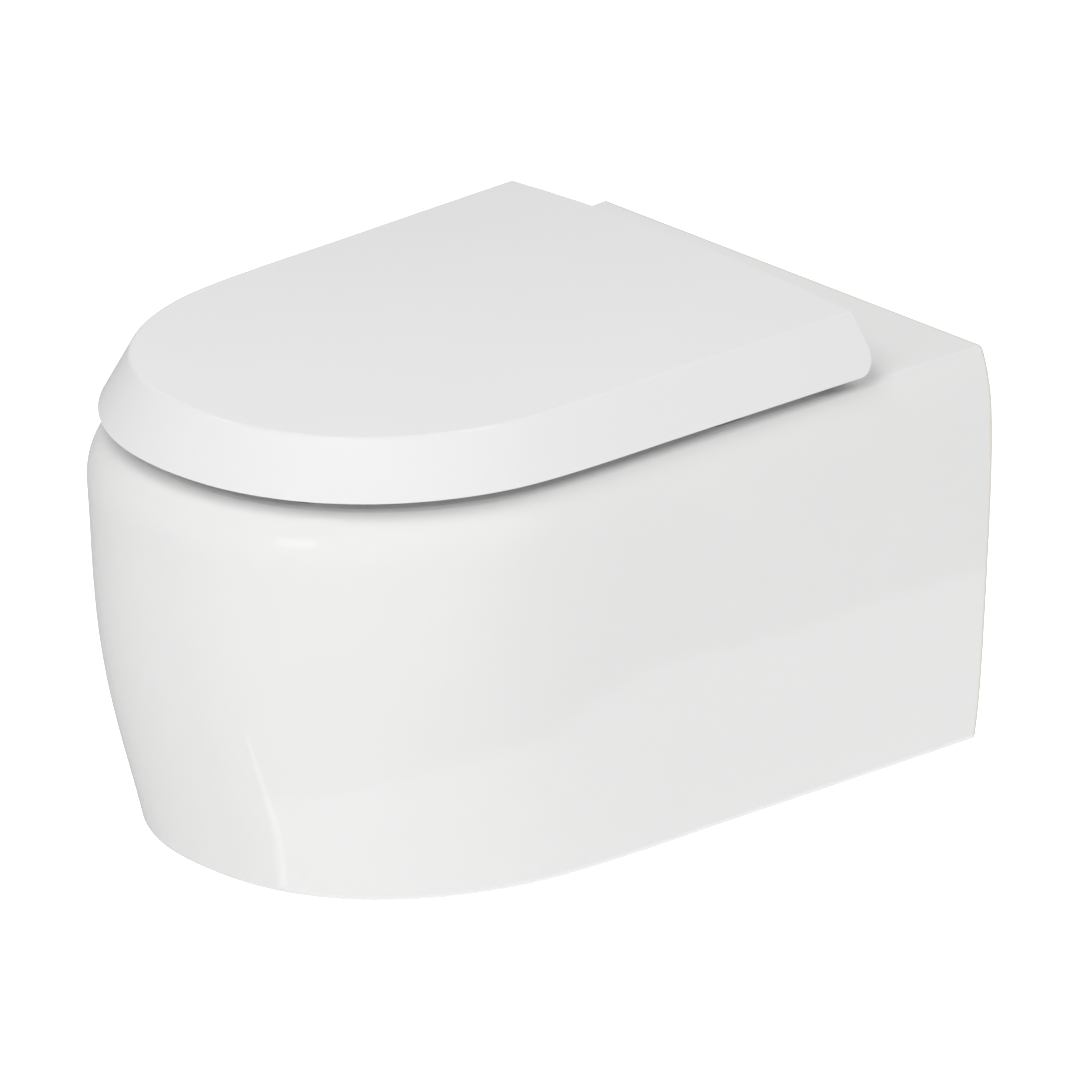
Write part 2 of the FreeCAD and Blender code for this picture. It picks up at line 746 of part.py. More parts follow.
def stud_washer(side, sign):
    """A flat washer on the sleeve's flange."""
    corners = [(LOOSE_ON_STUD, "0"), ("washer_size / 2", "0"), ("washer_size / 2", "washer_thickness"),
               (LOOSE_ON_STUD, "washer_thickness")]
    start = "-lug_length - sleeve_flange_thickness - washer_thickness"
    return turned(f"stud_washer_{side}", corners, (stud_x(sign), start, "0"), "Y")


def stud_nut(side, sign):
    """A hexagon nut on the washer, its corners chamfered by a cone."""
    start = "(-lug_length - sleeve_flange_thickness - washer_thickness - nut_thickness)"
    body = doc.addObject("Part::Prism", f"nut_hexagon_{side}")
    body.Polygon = 6
    body.setExpression("Circumradius", bound("nut_flats / 2 / cos(30)"))
    body.setExpression("Height", bound("nut_thickness"))
    place(body, (stud_x(sign), start, "0"), "Y")
    limit = cone(f"nut_chamfer_{side}", "nut_flats / 2", "nut_flats / 2 + nut_thickness", "nut_thickness",
                 (stud_x(sign), start, "0"), "Y")
    hole = cylinder(f"nut_thread_{side}", "stud_size / 2 + running_clearance", f"nut_thickness + 2 * {PAST}",
                    (stud_x(sign), f"{start} - {PAST}", "0"), "Y")
    return cut(f"stud_nut_{side}", common(f"nut_body_{side}", [body, limit]), [hole])


wall_studs = group("wall_studs", [wall_stud(*side) for side in SIDES])
stud_sleeves = group("stud_sleeves", [stud_sleeve(*side) for side in SIDES])
stud_washers = group("stud_washers", [stud_washer(*side) for side in SIDES])
stud_nuts = group("stud_nuts", [stud_nut(*side) for side in SIDES])


SEAL_RIBS = ("0.33", "0.62", "0.9")     # where the ribs' crests lie, as shares of the collar's length


def inlet_seal():
    """The rubber collar in the inlet socket: outer ribs grip the ceramic and the bore takes the flush pipe."""
    outer = "(inlet_socket / 2 - seal_rib - running_clearance)"
    tip = "(inlet_socket / 2 - running_clearance)"
    bore = "(flush_pipe / 2)"
    corners = [(bore, "0"), (tip, "0"), (tip, "seal_lip")]
    for share in SEAL_RIBS:
        middle = f"seal_length * {share}"
        corners += [(outer, f"{middle} - seal_rib_crest - seal_rib_ramp"), (tip, f"{middle} - seal_rib_crest"),
                    (tip, f"{middle} + seal_rib_crest")]
    corners += [(outer, "seal_length"), (f"{bore} + seal_mouth_chamfer", "seal_length"),
                (bore, "seal_length - seal_mouth_chamfer")]
    return turned("flush_inlet_seal", corners, ("0", "-inlet_socket_length", "inlet_rise"), "Y")


flush_inlet_seal = inlet_seal()
doc.recompute()

# ---------------------------------------------------------------- seat hinge hardware on the deck


def hinge_x(sign):
    """Where a hinge lies across the width."""
    return f"{sign} * hinge_spacing / 2"


def hinge_bolt(side, sign):
    """Bolt and post in one: threaded shank below, collar on the disc, necked pin above it."""
    bottom = f"({DECK} - bolt_below_deck)"
    disc_level = f"({DISC_TOP} - {bottom})"
    collar = f"({disc_level} - bolt_collar_thickness)"
    neck_top = f"({disc_level} + neck_start + neck_length)"
    post_top = f"({disc_level} + post_length)"
    corners = [
        ("0", "0"), ("bolt_shank / 2 - bolt_chamfer", "0"), ("bolt_shank / 2", "bolt_chamfer"),
        ("bolt_shank / 2", collar), ("bolt_collar / 2", collar), ("bolt_collar / 2", disc_level),
        ("post_size / 2", disc_level), ("post_size / 2", f"{disc_level} + neck_start"),
        ("neck_size / 2", f"{disc_level} + neck_start"), ("neck_size / 2", neck_top),
        ("post_size / 2", f"{neck_top} + neck_shoulder"), ("post_size / 2", f"{post_top} - post_chamfer"),
        ("post_size / 2 - post_chamfer", post_top), ("0", post_top),
    ]
    return turned(f"hinge_bolt_{side}", corners, (hinge_x(sign), HINGE_Y, bottom))


def mounting_disc(side, sign):
    """The round disc on the deck under a hinge, recessed for the bolt's collar."""
    top = "disc_thickness"
    floor = "(disc_thickness - bolt_collar_thickness)"
    corners = [("bolt_shank / 2 + running_clearance", "0"), ("disc_size / 2", "0"),
               ("disc_size / 2", f"{top} - disc_chamfer"), ("disc_size / 2 - disc_chamfer", top),
               ("bolt_collar / 2 + running_clearance", top), ("bolt_collar / 2 + running_clearance", floor),
               ("bolt_shank / 2 + running_clearance", floor)]
    return turned(f"mounting_disc_{side}", corners, (hinge_x(sign), HINGE_Y, DECK))


def expansion_plug(side, sign):
    """The rubber plug in the ceramic hole, which the cone nut spreads below the deck."""
    inner = "(bolt_shank / 2 + running_clearance)"
    outer = "(seat_hole / 2 - running_clearance)"
    corners = [(inner, "plug_flare_depth"), (f"{inner} + plug_flare", "0"), (outer, "0"), (outer, "plug_length"),
               (inner, "plug_length")]
    return turned(f"expansion_plug_{side}", corners, (hinge_x(sign), HINGE_Y, f"{DECK} - plug_length"))


def cone_nut(side, sign):
    """The nut below the plug, its cone drawn up into the plug's bore."""
    inner = "(bolt_shank / 2 + running_clearance)"
    outer = "(seat_hole / 2 - cone_nut_play)"
    top = "cone_nut_length"
    tip = "cone_nut_length + cone_rise"
    corners = [(inner, "0"), (outer, "0"), (outer, top), (f"{inner} + cone_root", top),
               (f"{inner} + cone_tip", tip), (inner, tip)]
    foot = f"{DECK} - plug_length - cone_nut_length"
    return turned(f"cone_nut_{side}", corners, (hinge_x(sign), HINGE_Y, foot))


hinge_bolts = group("hinge_bolts", [hinge_bolt(*side) for side in SIDES])
expansion_plugs = group("expansion_plugs", [expansion_plug(*side) for side in SIDES])
cone_nuts = group("cone_nuts", [cone_nut(*side) for side in SIDES])
mounting_discs = [mounting_disc(*side) for side in SIDES]
doc.recompute()

# ---------------------------------------------------------------- lift-off hinge blocks

BLOCK_BOTTOM = f"({DISC_TOP} + seating_gap)"
NECK_MIDDLE = f"({DISC_TOP} + neck_start + neck_length / 2)"
BUTTON_BOTTOM = f"({NECK_MIDDLE} - button_thickness / 2)"
BUTTON_FACE = f"({HINGE_Y} + block_round)"
BUTTON_FRONT = f"({BUTTON_FACE} + button_proud - button_body)"
BUTTON_ROOM = "(button_body - button_proud + button_nose + button_travel + button_play)"


def hinge_block(side, sign):
    """The moulded block that drops over the post and carries the hinge pin."""
    x = hinge_x(sign)
    left = f"{x} - block_width / 2"
    foot = box(f"block_foot_{side}", ("block_width", "2 * block_round", f"{HINGE_Z} - {BLOCK_BOTTOM}"),
               (left, f"{HINGE_Y} - block_round", BLOCK_BOTTOM))
    head = cylinder(f"block_head_{side}", "block_round", "block_width", (left, HINGE_Y, HINGE_Z), "X")
    post_bore = cylinder(f"post_bore_{side}", "post_size / 2 + running_clearance * 2",
                         f"post_length + post_headroom + {PAST}", (x, HINGE_Y, f"{BLOCK_BOTTOM} - {PAST}"))
    pin_bore = cylinder(f"block_pin_bore_{side}", "pin_size / 2 + running_clearance / 2",
                        f"block_width + 2 * {PAST}", (f"{left} - {PAST}", HINGE_Y, HINGE_Z), "X")
    button_slot = box(f"button_slot_{side}",
                      ("button_width + 2 * seating_gap", f"{BUTTON_ROOM} + {PAST}",
                       "button_thickness + 2 * seating_gap"),
                      (f"{x} - button_width / 2 - seating_gap", f"{BUTTON_FACE} - {BUTTON_ROOM}",
                       f"{BUTTON_BOTTOM} - seating_gap"))
    clip_slot = box(f"clip_slot_{side}",
                    ("post_size + 4 * clip_wire", "2 * block_round - clip_slot_front_wall - clip_slot_back_wall",
                     "clip_wire + 2 * seating_gap"),
                    (f"{x} - post_size / 2 - 2 * clip_wire", f"{HINGE_Y} - block_round + clip_slot_front_wall",
                     f"{NECK_MIDDLE} - clip_wire / 2 - seating_gap"))
    return cut(f"hinge_block_{side}", fuse(f"block_form_{side}", [foot, head]),
               [post_bore, pin_bore, button_slot, clip_slot])


hinge_blocks = [hinge_block(*side) for side in SIDES]


def hinge_pin(side, sign):
    """The steel pin through block, seat knuckle and lid knuckle, chamfered at its ends."""
    inner = "(block_width / 2 + pin_inner_reach)"
    outer = "(block_width / 2 + pin_outer_reach)"
    length = f"({inner} + {outer})"
    start = f"{hinge_x(sign)} - {inner}" if sign == "1" else f"{hinge_x(sign)} - {outer}"
    corners = [("0", "0"), ("pin_size / 2 - pin_chamfer", "0"), ("pin_size / 2", "pin_chamfer"),
               ("pin_size / 2", f"{length} - pin_chamfer"), ("pin_size / 2 - pin_chamfer", length), ("0", length)]
    return turned(f"hinge_pin_{side}", corners, (start, HINGE_Y, HINGE_Z), "X")


hinge_pins = [hinge_pin(*side) for side in SIDES]


def latch_clip(side, sign):
    """The wire clip whose two legs lie in the post's neck, joined by a bow in front of the post."""
    wire = num("clip_wire") / 2
    leg = num("neck_size") / 2 + wire + num("running_clearance")
    x = num(hinge_x(sign))
    y = num(HINGE_Y)
    z = num(NECK_MIDDLE)
    front = y - num("block_round - clip_slot_front_wall") + wire + leg
    back = y + num("post_size / 2 + clip_tail")
    tail_right, bend_right, bow, bend_left, tail_left = (FreeCAD.Vector(x + across, at, z) for across, at in (
        (leg, back), (leg, front), (0, front - leg), (-leg, front), (-leg, back)))
    path = Part.Wire([
        Part.LineSegment(tail_right, bend_right).toShape(),
        Part.Arc(bend_right, bow, bend_left).toShape(),
        Part.LineSegment(bend_left, tail_left).toShape(),
    ])
    ring = Part.Wire([Part.Circle(tail_right, FreeCAD.Vector(0, 1, 0), wire).toShape()])
    clip = doc.addObject("Part::Feature", f"latch_clip_{side}")
    clip.Shape = path.makePipeShell([ring], True, False)
    return clip


latch_clips = group("latch_clips", [latch_clip(*side) for side in SIDES])


def release_button(side, sign):
    """The push button in the block's back face, with the wedge nose that spreads the clip."""
    x = hinge_x(sign)
    body = box(f"button_body_{side}", ("button_width", "button_body", "button_thickness"),
               (f"{x} - button_width / 2", BUTTON_FRONT, BUTTON_BOTTOM))
    doc.recompute()
    soft = rounded(f"button_soft_{side}", body, "button_round",
                   lambda edge: edge.BoundBox.YMin > num(BUTTON_FACE))
    root = f"{BUTTON_FRONT} + button_nose_sink"
    tip = f"{BUTTON_FRONT} - button_nose"
    nose = extruded(f"button_nose_{side}", "XY", f"{NECK_MIDDLE} - clip_wire / 2", f"{NECK_MIDDLE} + clip_wire / 2",
                    [(f"{x} - button_nose_root / 2", root), (f"{x} - button_nose_tip / 2", tip),
                     (f"{x} + button_nose_tip / 2", tip), (f"{x} + button_nose_root / 2", root)])
    return fuse(f"release_button_{side}", [soft, nose])


release_buttons = [release_button(*side) for side in SIDES]
doc.recompute()

# ---------------------------------------------------------------- lid and seat outlines


# half width, taper, reach, nose length and power at the lower edge and at the crease
LID_ENDS = ((LID_HALF_WIDTH, LID_TOP_HALF_WIDTH), ("lid_taper", "lid_top_taper"), (LID_REACH, LID_TOP_REACH),
            ("lid_nose_round", "lid_top_nose_round"), ("lid_nose_power", "lid_top_nose_power"))


def lid_section(name, level, inset, back):
    """A level section of the lid: its outline slides from the lower edge to the crease of the top."""
    share = (num(level) - num(LID_EDGE)) / num("lid_depth")
    half_width, taper, reach, nose, power = (num(low) + share * (num(high) - num(low)) for low, high in LID_ENDS)
    return d_outline(sketch_at(name, "XY", level), half_width - inset, taper, reach - inset, nose - inset, power, back)


SLOPE = math.atan2(num("lid_depth"), num("lid_side_slope"))
WALL_INSET = num("lid_wall") / math.sin(SLOPE)
LID_SECTION_BACK = -60.0


def lid_side_prism(name, shrink):
    """The lid seen from the side: a back that leans, rounded about the hinge down to the lower edge."""
    radius = num("lid_back_round") - shrink
    lean = math.radians(num("lid_back_lean"))
    y = num(HINGE_Y)
    z = num(HINGE_Z)
    top = num(f"{LID_CREASE} + {MARGIN}")
    front = num(f"-overall_length - {MARGIN}")
    turn = FreeCAD.Vector(0, y + radius * math.cos(lean), z + radius * math.sin(lean))
    low = FreeCAD.Vector(0, y, z - radius)
    middle_angle = (lean - math.pi / 2) / 2
    middle = FreeCAD.Vector(0, y + radius * math.cos(middle_angle), z + radius * math.sin(middle_angle))
    peak = FreeCAD.Vector(0, turn.y - (top - turn.z) * math.tan(lean), top)
    front_top = FreeCAD.Vector(0, front, top)
    front_low = FreeCAD.Vector(0, front, z - radius)
    wire = Part.Wire([
        Part.Arc(low, middle, turn).toShape(),
        Part.LineSegment(turn, peak).toShape(),
        Part.LineSegment(peak, front_top).toShape(),
        Part.LineSegment(front_top, front_low).toShape(),
        Part.LineSegment(front_low, low).toShape(),
    ])
    prism = doc.addObject("Part::Feature", name)
    reach = num("overall_width")
    prism.Shape = Part.Face(wire).extrude(FreeCAD.Vector(reach, 0, 0))
    prism.Placement = FreeCAD.Placement(FreeCAD.Vector(-reach / 2, 0, 0), FreeCAD.Rotation())
    return prism


DOME_BACK = num(f"{HINGE_Y} + {MARGIN}")


def lid_dome_block(name, drop):
    """What lies below the lid's top: arched across the back, straight across the nose."""
    half = num("overall_width") / 2
    crease = num(LID_CREASE) - drop
    crown = num("lid_dome")
    floor = num(f"{LID_EDGE} - {MARGIN}")
    edge_drop = crown * (half / num(LID_TOP_HALF_WIDTH)) ** 2 - crown
    back = DOME_BACK
    nose = num("-overall_length")

    def face(tag, y, share):
        """One end of the block, its top an arc whose rise is a share of the crown."""
        sketch = sketch_at(f"{name}_{tag}", "XZ", str(y))
        low = crease - edge_drop * share
        high = crease + crown * share
        corners = [FreeCAD.Vector(half, low, 0), FreeCAD.Vector(-half, low, 0),
                   FreeCAD.Vector(-half, floor, 0), FreeCAD.Vector(half, floor, 0)]
        if share:
            sketch.addGeometry(Part.Arc(corners[0], FreeCAD.Vector(0, high, 0), corners[1]), False)
        else:
            sketch.addGeometry(Part.LineSegment(corners[0], corners[1]), False)
        for start, end in zip(corners[1:], corners[2:] + corners[:1]):
            sketch.addGeometry(Part.LineSegment(start, end), False)
        return sketch

    return loft(name, [face("back", back, 1.0), face("nose", nose, 0.0)], ruled=True)


# ---------------------------------------------------------------- lid

LID_TOOL_TOP = f"{LID_CREASE} + 2 * lid_dome"
lid_form = loft("lid_form", [lid_section("lid_lower_outline", LID_EDGE, 0.0, LID_SECTION_BACK),
                             lid_section("lid_upper_outline", LID_TOOL_TOP, 0.0, LID_SECTION_BACK)], ruled=True)
lid_block = common("lid_block", [lid_form, lid_side_prism("lid_side", 0.0), lid_dome_block("lid_dome_under", 0.0)])
doc.recompute()


def is_crease(edge):
    """The long crease where the lid's top meets its sloping rim."""
    limits = edge.BoundBox
    return limits.YLength > num("overall_length / 3") and limits.ZMin > num(f"{LID_CREASE} - lid_wall")


lid_rounded = rounded("lid_rounded", lid_block, "lid_crease_round", is_crease)
lid_void_form = loft("lid_void_form", [
    lid_section("lid_void_lower", f"{LID_EDGE} - lid_void_drop", WALL_INSET, LID_SECTION_BACK),
    lid_section("lid_void_upper", LID_TOOL_TOP, WALL_INSET, LID_SECTION_BACK)], ruled=True)
lid_void_side = lid_side_prism("lid_void_side", num("lid_wall"))
lid_void_skirt = box("lid_void_skirt", ("overall_width", "overall_length", f"lid_wall + {MARGIN}"),
                     ("-overall_width / 2", f"{HINGE_Y} - overall_length", f"{LID_EDGE} - {MARGIN}"))
lid_void = common("lid_void", [lid_void_form, fuse("lid_void_limits", [lid_void_side, lid_void_skirt]),
                               lid_dome_block("lid_void_dome", num("lid_wall"))])
lid_hollow = cut("lid_hollow", lid_rounded, [lid_void])

KNUCKLE_START = "(hinge_spacing / 2 + block_width / 2 + side_clearance)"
KNUCKLE_LENGTH = "(pin_outer_reach + damper_cover)"
BORE_RADIUS = "(damper_size / 2 + running_clearance)"


def lid_side_features(side, sign):
    """The lid's knuckle with its web, the notch round the hinge block and the bore on one side."""
    start = KNUCKLE_START if sign == "1" else f"(-{KNUCKLE_START} - {KNUCKLE_LENGTH})"
    knuckle = cylinder(f"lid_knuckle_{side}", "lid_back_round - lid_knuckle_inset", KNUCKLE_LENGTH,
                       (start, HINGE_Y, HINGE_Z), "X")
    web = box(f"lid_web_{side}", (KNUCKLE_LENGTH, "lid_back_round * 1.5 - lid_web_setback",
                                  "lid_gap + lid_depth - hinge_rise + lid_knuckle_inset"),
              (start, f"{HINGE_Y} - lid_back_round / 2", HINGE_Z))
    notch = box(f"lid_notch_{side}", ("block_width + 2 * side_clearance", "2 * lid_notch_reach",
                                      f"lid_depth - lid_wall - lid_notch_roof + {MARGIN}"),
                (f"{hinge_x(sign)} - block_width / 2 - side_clearance", f"{HINGE_Y} - lid_notch_reach",
                 f"{LID_EDGE} - {MARGIN}"))
    bore_start = KNUCKLE_START if sign == "1" else f"(-{KNUCKLE_START} - damper_length)"
    bore = cylinder(f"lid_bore_{side}", BORE_RADIUS, "damper_length", (bore_start, HINGE_Y, HINGE_Z), "X")
    return knuckle, web, notch, bore


lid_features = [lid_side_features(*side) for side in SIDES]
back_notch = box("lid_back_notch", ("hinge_spacing", f"lid_back_notch_reach + lid_back_round + {MARGIN}",
                                    f"lid_back_notch_rise + {MARGIN}"),
                 ("-hinge_spacing / 2", f"{HINGE_Y} - lid_back_notch_reach", f"{LID_EDGE} - {MARGIN}"))
lid_shell = cut("lid_shell", fuse("lid_with_knuckles", [lid_hollow] + [piece for row in lid_features
                                                                       for piece in row[:2]]),
                [back_notch] + [piece for row in lid_features for piece in row[2:]])
doc.recompute()

# ---------------------------------------------------------------- seat ring

SEAT_INSET = WALL_INSET + num("seat_clearance")
seat_form = loft("seat_form", [lid_section("seat_lower_outline", SEAT_UNDERSIDE, SEAT_INSET, LID_SECTION_BACK),
                               lid_section("seat_upper_outline", SEAT_TOP, SEAT_INSET, LID_SECTION_BACK)],
                 ruled=True)
seat_limit = box("seat_limit", ("overall_width", "overall_length", f"seat_thickness + 2 * {MARGIN}"),
                 ("-overall_width / 2", "-seat_back - overall_length", f"{SEAT_UNDERSIDE} - {MARGIN}"))
seat_front_part = common("seat_front_part", [seat_form, seat_limit])
doc.recompute()


def is_seat_top_edge(edge):
    """An edge round the outside of the seat's top."""
    return flat_at(edge, num(SEAT_TOP)) and edge.BoundBox.XLength > num("seat_edge_round") * 4


seat_soft = rounded("seat_soft", seat_front_part, "seat_edge_round", is_seat_top_edge)
SEAT_OPENING_POWER = 2.15
opening_outline = egg_outline(sketch_at("seat_opening_outline", "XY", f"{SEAT_UNDERSIDE} - {PAST}"),
                              num("seat_inner_half_width"), num("seat_inner_front - overall_length"),
                              num("-seat_inner_back"), SEAT_OPENING_POWER)
seat_opening = upright_prism("seat_opening", opening_outline, f"seat_thickness + 2 * {PAST}")
seat_open = cut("seat_open", seat_soft, [seat_opening])
doc.recompute()


def is_seat_inner_edge(edge):
    """The top edge of the seat's opening."""
    limits = edge.BoundBox
    return flat_at(edge, num(SEAT_TOP)) and limits.YMax < num("-seat_inner_back") + 2


seat_dished = rounded("seat_dished", seat_open, "seat_inner_round", is_seat_inner_edge)
SEAT_KNUCKLE_END = "(hinge_spacing / 2 - block_width / 2 - side_clearance)"
SEAT_KNUCKLE_LENGTH = "(damper_length + damper_cover)"


def seat_side_features(side, sign):
    """The seat's knuckle, the arm that joins it to the ring, and the bore on one side."""
    start = f"({SEAT_KNUCKLE_END} - {SEAT_KNUCKLE_LENGTH})" if sign == "1" else f"(-{SEAT_KNUCKLE_END})"
    knuckle = cylinder(f"seat_knuckle_{side}", "knuckle_size / 2", SEAT_KNUCKLE_LENGTH, (start, HINGE_Y, HINGE_Z), "X")
    arm = box(f"seat_arm_{side}",
              (SEAT_KNUCKLE_LENGTH, "seat_back - hinge_setback + seat_arm_overlap", "seat_arm_thickness"),
              (start, "-seat_back - seat_arm_overlap", f"{HINGE_Z} + knuckle_size / 2 - seat_arm_thickness"))
    bore_start = f"({SEAT_KNUCKLE_END} - damper_length)" if sign == "1" else f"(-{SEAT_KNUCKLE_END})"
    bore = cylinder(f"seat_bore_{side}", BORE_RADIUS, "damper_length", (bore_start, HINGE_Y, HINGE_Z), "X")
    return knuckle, arm, bore


seat_features = [seat_side_features(*side) for side in SIDES]


NOSE_BUFFER_ANGLE = math.radians(62)    # from straight across, round the rim's nose
NOSE_BUFFER_SPREAD = 1.06               # the rim's nose is wider than a circle by this
NOSE_BUFFER_SET_BACK = 1.2              # and longer by this


def seat_buffer_spots():
    """Centres of the seat's buffers on the middle line of the rim, two beside the back and two near the nose."""
    rim_middle = num("overall_width / 2 - rim_width / 2 - buffer_inset")
    rim_nose = num("nose_inset_deck + rim_width / 2 - overall_length")
    back_y = num("-bowl_back - buffer_back_setback")
    nose_x = rim_middle * math.cos(NOSE_BUFFER_ANGLE) * NOSE_BUFFER_SPREAD
    nose_y = rim_nose + rim_middle * (1 - math.sin(NOSE_BUFFER_ANGLE)) * NOSE_BUFFER_SET_BACK
    return [(-rim_middle, back_y), (rim_middle, back_y), (-nose_x, nose_y), (nose_x, nose_y)]


def soft_pad(name, x, y, bottom, top, peg=None):
    """A rounded rubber pad, with a peg that plugs into the moulding above it where one is asked for."""
    length = num("buffer_length") / 2 - num("buffer_width") / 2
    radius = num("buffer_width") / 2
    height = num(f"({top}) - ({bottom})")
    pieces = []
    for offset in (-length, length):
        pieces.append(Part.makeCylinder(radius, height, FreeCAD.Vector(0, offset, 0)))
    pieces.append(Part.makeBox(2 * radius, 2 * length, height, FreeCAD.Vector(-radius, -length, 0)))
    pad = pieces[0].multiFuse(pieces[1:]).removeSplitter()
    pad = pad.makeFillet(num("buffer_round"), [edge for edge in pad.Edges if flat_at(edge, 0)])
    if peg:
        plug = Part.makeCylinder(num("buffer_peg") / 2, num(peg), FreeCAD.Vector(0, 0, height))
        pad = pad.fuse(plug).removeSplitter()
    obj = doc.addObject("Part::Feature", name)
    obj.Shape = pad
    obj.Placement = FreeCAD.Placement(FreeCAD.Vector(x, y, num(bottom)), FreeCAD.Rotation())
    return obj


seat_buffer_list = []
seat_peg_holes = []
for index, (x, y) in enumerate(seat_buffer_spots(), start=1):
    seat_buffer_list.append(soft_pad(f"seat_buffer_{index}", x, y, f"{DECK} + seating_gap", SEAT_UNDERSIDE,
                                     "buffer_peg_length - seating_gap"))
    seat_peg_holes.append(cylinder(f"seat_peg_hole_{index}", "buffer_peg / 2 + running_clearance / 2",
                                   f"buffer_peg_length + {PAST}", (str(x), str(y), f"{SEAT_UNDERSIDE} - {PAST}")))
seat_buffers = group("seat_buffers", seat_buffer_list)

seat_ring = cut("seat_ring", fuse("seat_with_knuckles", [seat_dished] + [piece for row in seat_features
                                                                         for piece in row[:2]]),
                seat_peg_holes + [row[2] for row in seat_features])


def lid_ceiling(x, y):
    """Height of the lid's inner face over a point."""
    share = (y + num("overall_length")) / (num("overall_length") + DOME_BACK)
    arch = 1 - (x / num(LID_TOP_HALF_WIDTH)) ** 2
    return num(f"{LID_CREASE} - lid_wall") + num("lid_dome") * arch * share


LID_BUFFER_SHARE = 0.88     # the lid's buffers stand nearer the middle than the seat's
lid_buffer_list = []
for index, (seat_x, seat_y) in enumerate(seat_buffer_spots(), start=1):
    x = seat_x * LID_BUFFER_SHARE
    y = seat_y + num("lid_buffer_setback")
    outer_ceiling = lid_ceiling(abs(x) + num("buffer_width") / 2, y - num("buffer_length") / 2)
    lid_buffer_list.append(soft_pad(f"lid_buffer_{index}", x, y, f"{SEAT_TOP} + seating_gap",
                                    f"{outer_ceiling} - running_clearance"))
lid_buffers = group("lid_buffers", lid_buffer_list)
doc.recompute()

# ---------------------------------------------------------------- dampers and bushes


def damper(name, start, pin_reach):
    """A sealed rotary damper: a cartridge with a blind bore for the hinge pin, closed at its far end."""
    radius = "(damper_size / 2)"
    bore = "(pin_size / 2 + running_clearance)"
    depth = f"({pin_reach} - side_clearance + pin_end_gap)"
    corners = [("0", "damper_length"), ("0", depth), (bore, depth), (bore, "0"), (radius, "0"),
               (radius, "damper_length - damper_chamfer"), (f"{radius} - damper_chamfer", "damper_length")]
    obj = turned(name, corners, (start, HINGE_Y, HINGE_Z), "X")
    obj.Placement = FreeCAD.Placement(FreeCAD.Vector(0, 0, 0), FreeCAD.Rotation(FreeCAD.Vector(0, 1, 0), -90))
    return obj


def bush(name, start):
    """A plain plastic bush that the hinge pin turns in."""
    radius = "(damper_size / 2)"
    bore = "(pin_size / 2 + running_clearance)"
    corners = [(bore, "0"), (radius, "0"), (radius, "damper_length"), (bore, "damper_length")]
    return turned(name, corners, (start, HINGE_Y, HINGE_Z), "X")


seat_damper = damper("seat_damper", SEAT_KNUCKLE_END, "pin_inner_reach")
lid_damper = damper("lid_damper", f"(-{KNUCKLE_START})", "pin_outer_reach")
seat_bush = bush("seat_bush", f"(-{SEAT_KNUCKLE_END})")
lid_bush = bush("lid_bush", KNUCKLE_START)
doc.recompute()

# ---------------------------------------------------------------- write the pieces

NODES = ([ceramic_pan, wall_studs, stud_sleeves, stud_washers, stud_nuts, flush_inlet_seal, hinge_bolts,
          expansion_plugs, cone_nuts] + mounting_discs + hinge_blocks + hinge_pins + [latch_clips]
         + release_buttons + [seat_ring, seat_buffers, seat_damper, seat_bush, lid_shell, lid_buffers,
                              lid_damper, lid_bush])

doc.recompute()
for obj in doc.Objects:
    if "Invalid" in obj.State or "Error" in obj.State:
        raise SystemExit("failed: %s %s" % (obj.Name, obj.State))
for node in NODES:
    if node.Shape.isNull() or not node.Shape.isValid() or not node.Shape.Solids:
        raise SystemExit("no valid solid: " + node.Label)

os.makedirs("parts", exist_ok=True)
for node in NODES:
    node.Label = node.Name
    node.Shape.exportStep("parts/%s.step" % node.Label)
    size = node.Shape.BoundBox
    print("%-22s solids %d  volume %9.0f  x %7.1f..%6.1f  y %7.1f..%6.1f  z %7.1f..%6.1f" % (
        node.Label, len(node.Shape.Solids), node.Shape.Volume, size.XMin, size.XMax, size.YMin, size.YMax,
        size.ZMin, size.ZMax))
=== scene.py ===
# %% [markdown]
# # A wall hung toilet, dressed around its engineering model
#
# The engineering model gives every piece its true shape and place: the ceramic pan, the seat and lid
# with their lift-off hinges, and the set that fixes the pan to the wall.  This lesson adds what the eye
# wants to see: glaze, moulded plastic, rubber, plated steel, threads, and a plain white studio.
# Everything is in metres.  X is the width, the wall is the plane Y = 0, the pan reaches out along -Y
# and Z is up, with the origin midway between the two wall studs.

# %% Load the fixed frame
import json
import math

import bpy
import numpy as np
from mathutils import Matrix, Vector


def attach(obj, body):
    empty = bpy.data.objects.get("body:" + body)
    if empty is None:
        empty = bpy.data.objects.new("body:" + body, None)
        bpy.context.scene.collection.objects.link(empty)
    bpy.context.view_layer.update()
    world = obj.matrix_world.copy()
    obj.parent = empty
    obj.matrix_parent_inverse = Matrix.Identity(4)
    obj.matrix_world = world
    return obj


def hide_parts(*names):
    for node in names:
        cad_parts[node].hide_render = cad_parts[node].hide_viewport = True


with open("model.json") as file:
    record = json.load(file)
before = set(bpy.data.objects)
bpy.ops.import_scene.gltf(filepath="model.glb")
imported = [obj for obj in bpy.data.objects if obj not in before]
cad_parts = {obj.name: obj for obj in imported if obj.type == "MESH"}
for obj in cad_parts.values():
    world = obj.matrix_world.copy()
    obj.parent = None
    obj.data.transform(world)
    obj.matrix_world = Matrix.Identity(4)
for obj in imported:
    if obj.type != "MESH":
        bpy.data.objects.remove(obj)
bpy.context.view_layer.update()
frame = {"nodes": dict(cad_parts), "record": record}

# %% [markdown]
# ## The camera
#
# The photograph is nearly a parallel projection: lines that run into the wall stay parallel.  So a very
# long lens stands far away.  Its direction came from fitting the outline of the model to the outline in
# the photograph, and `AIM` is the point that lies behind the middle of the picture.

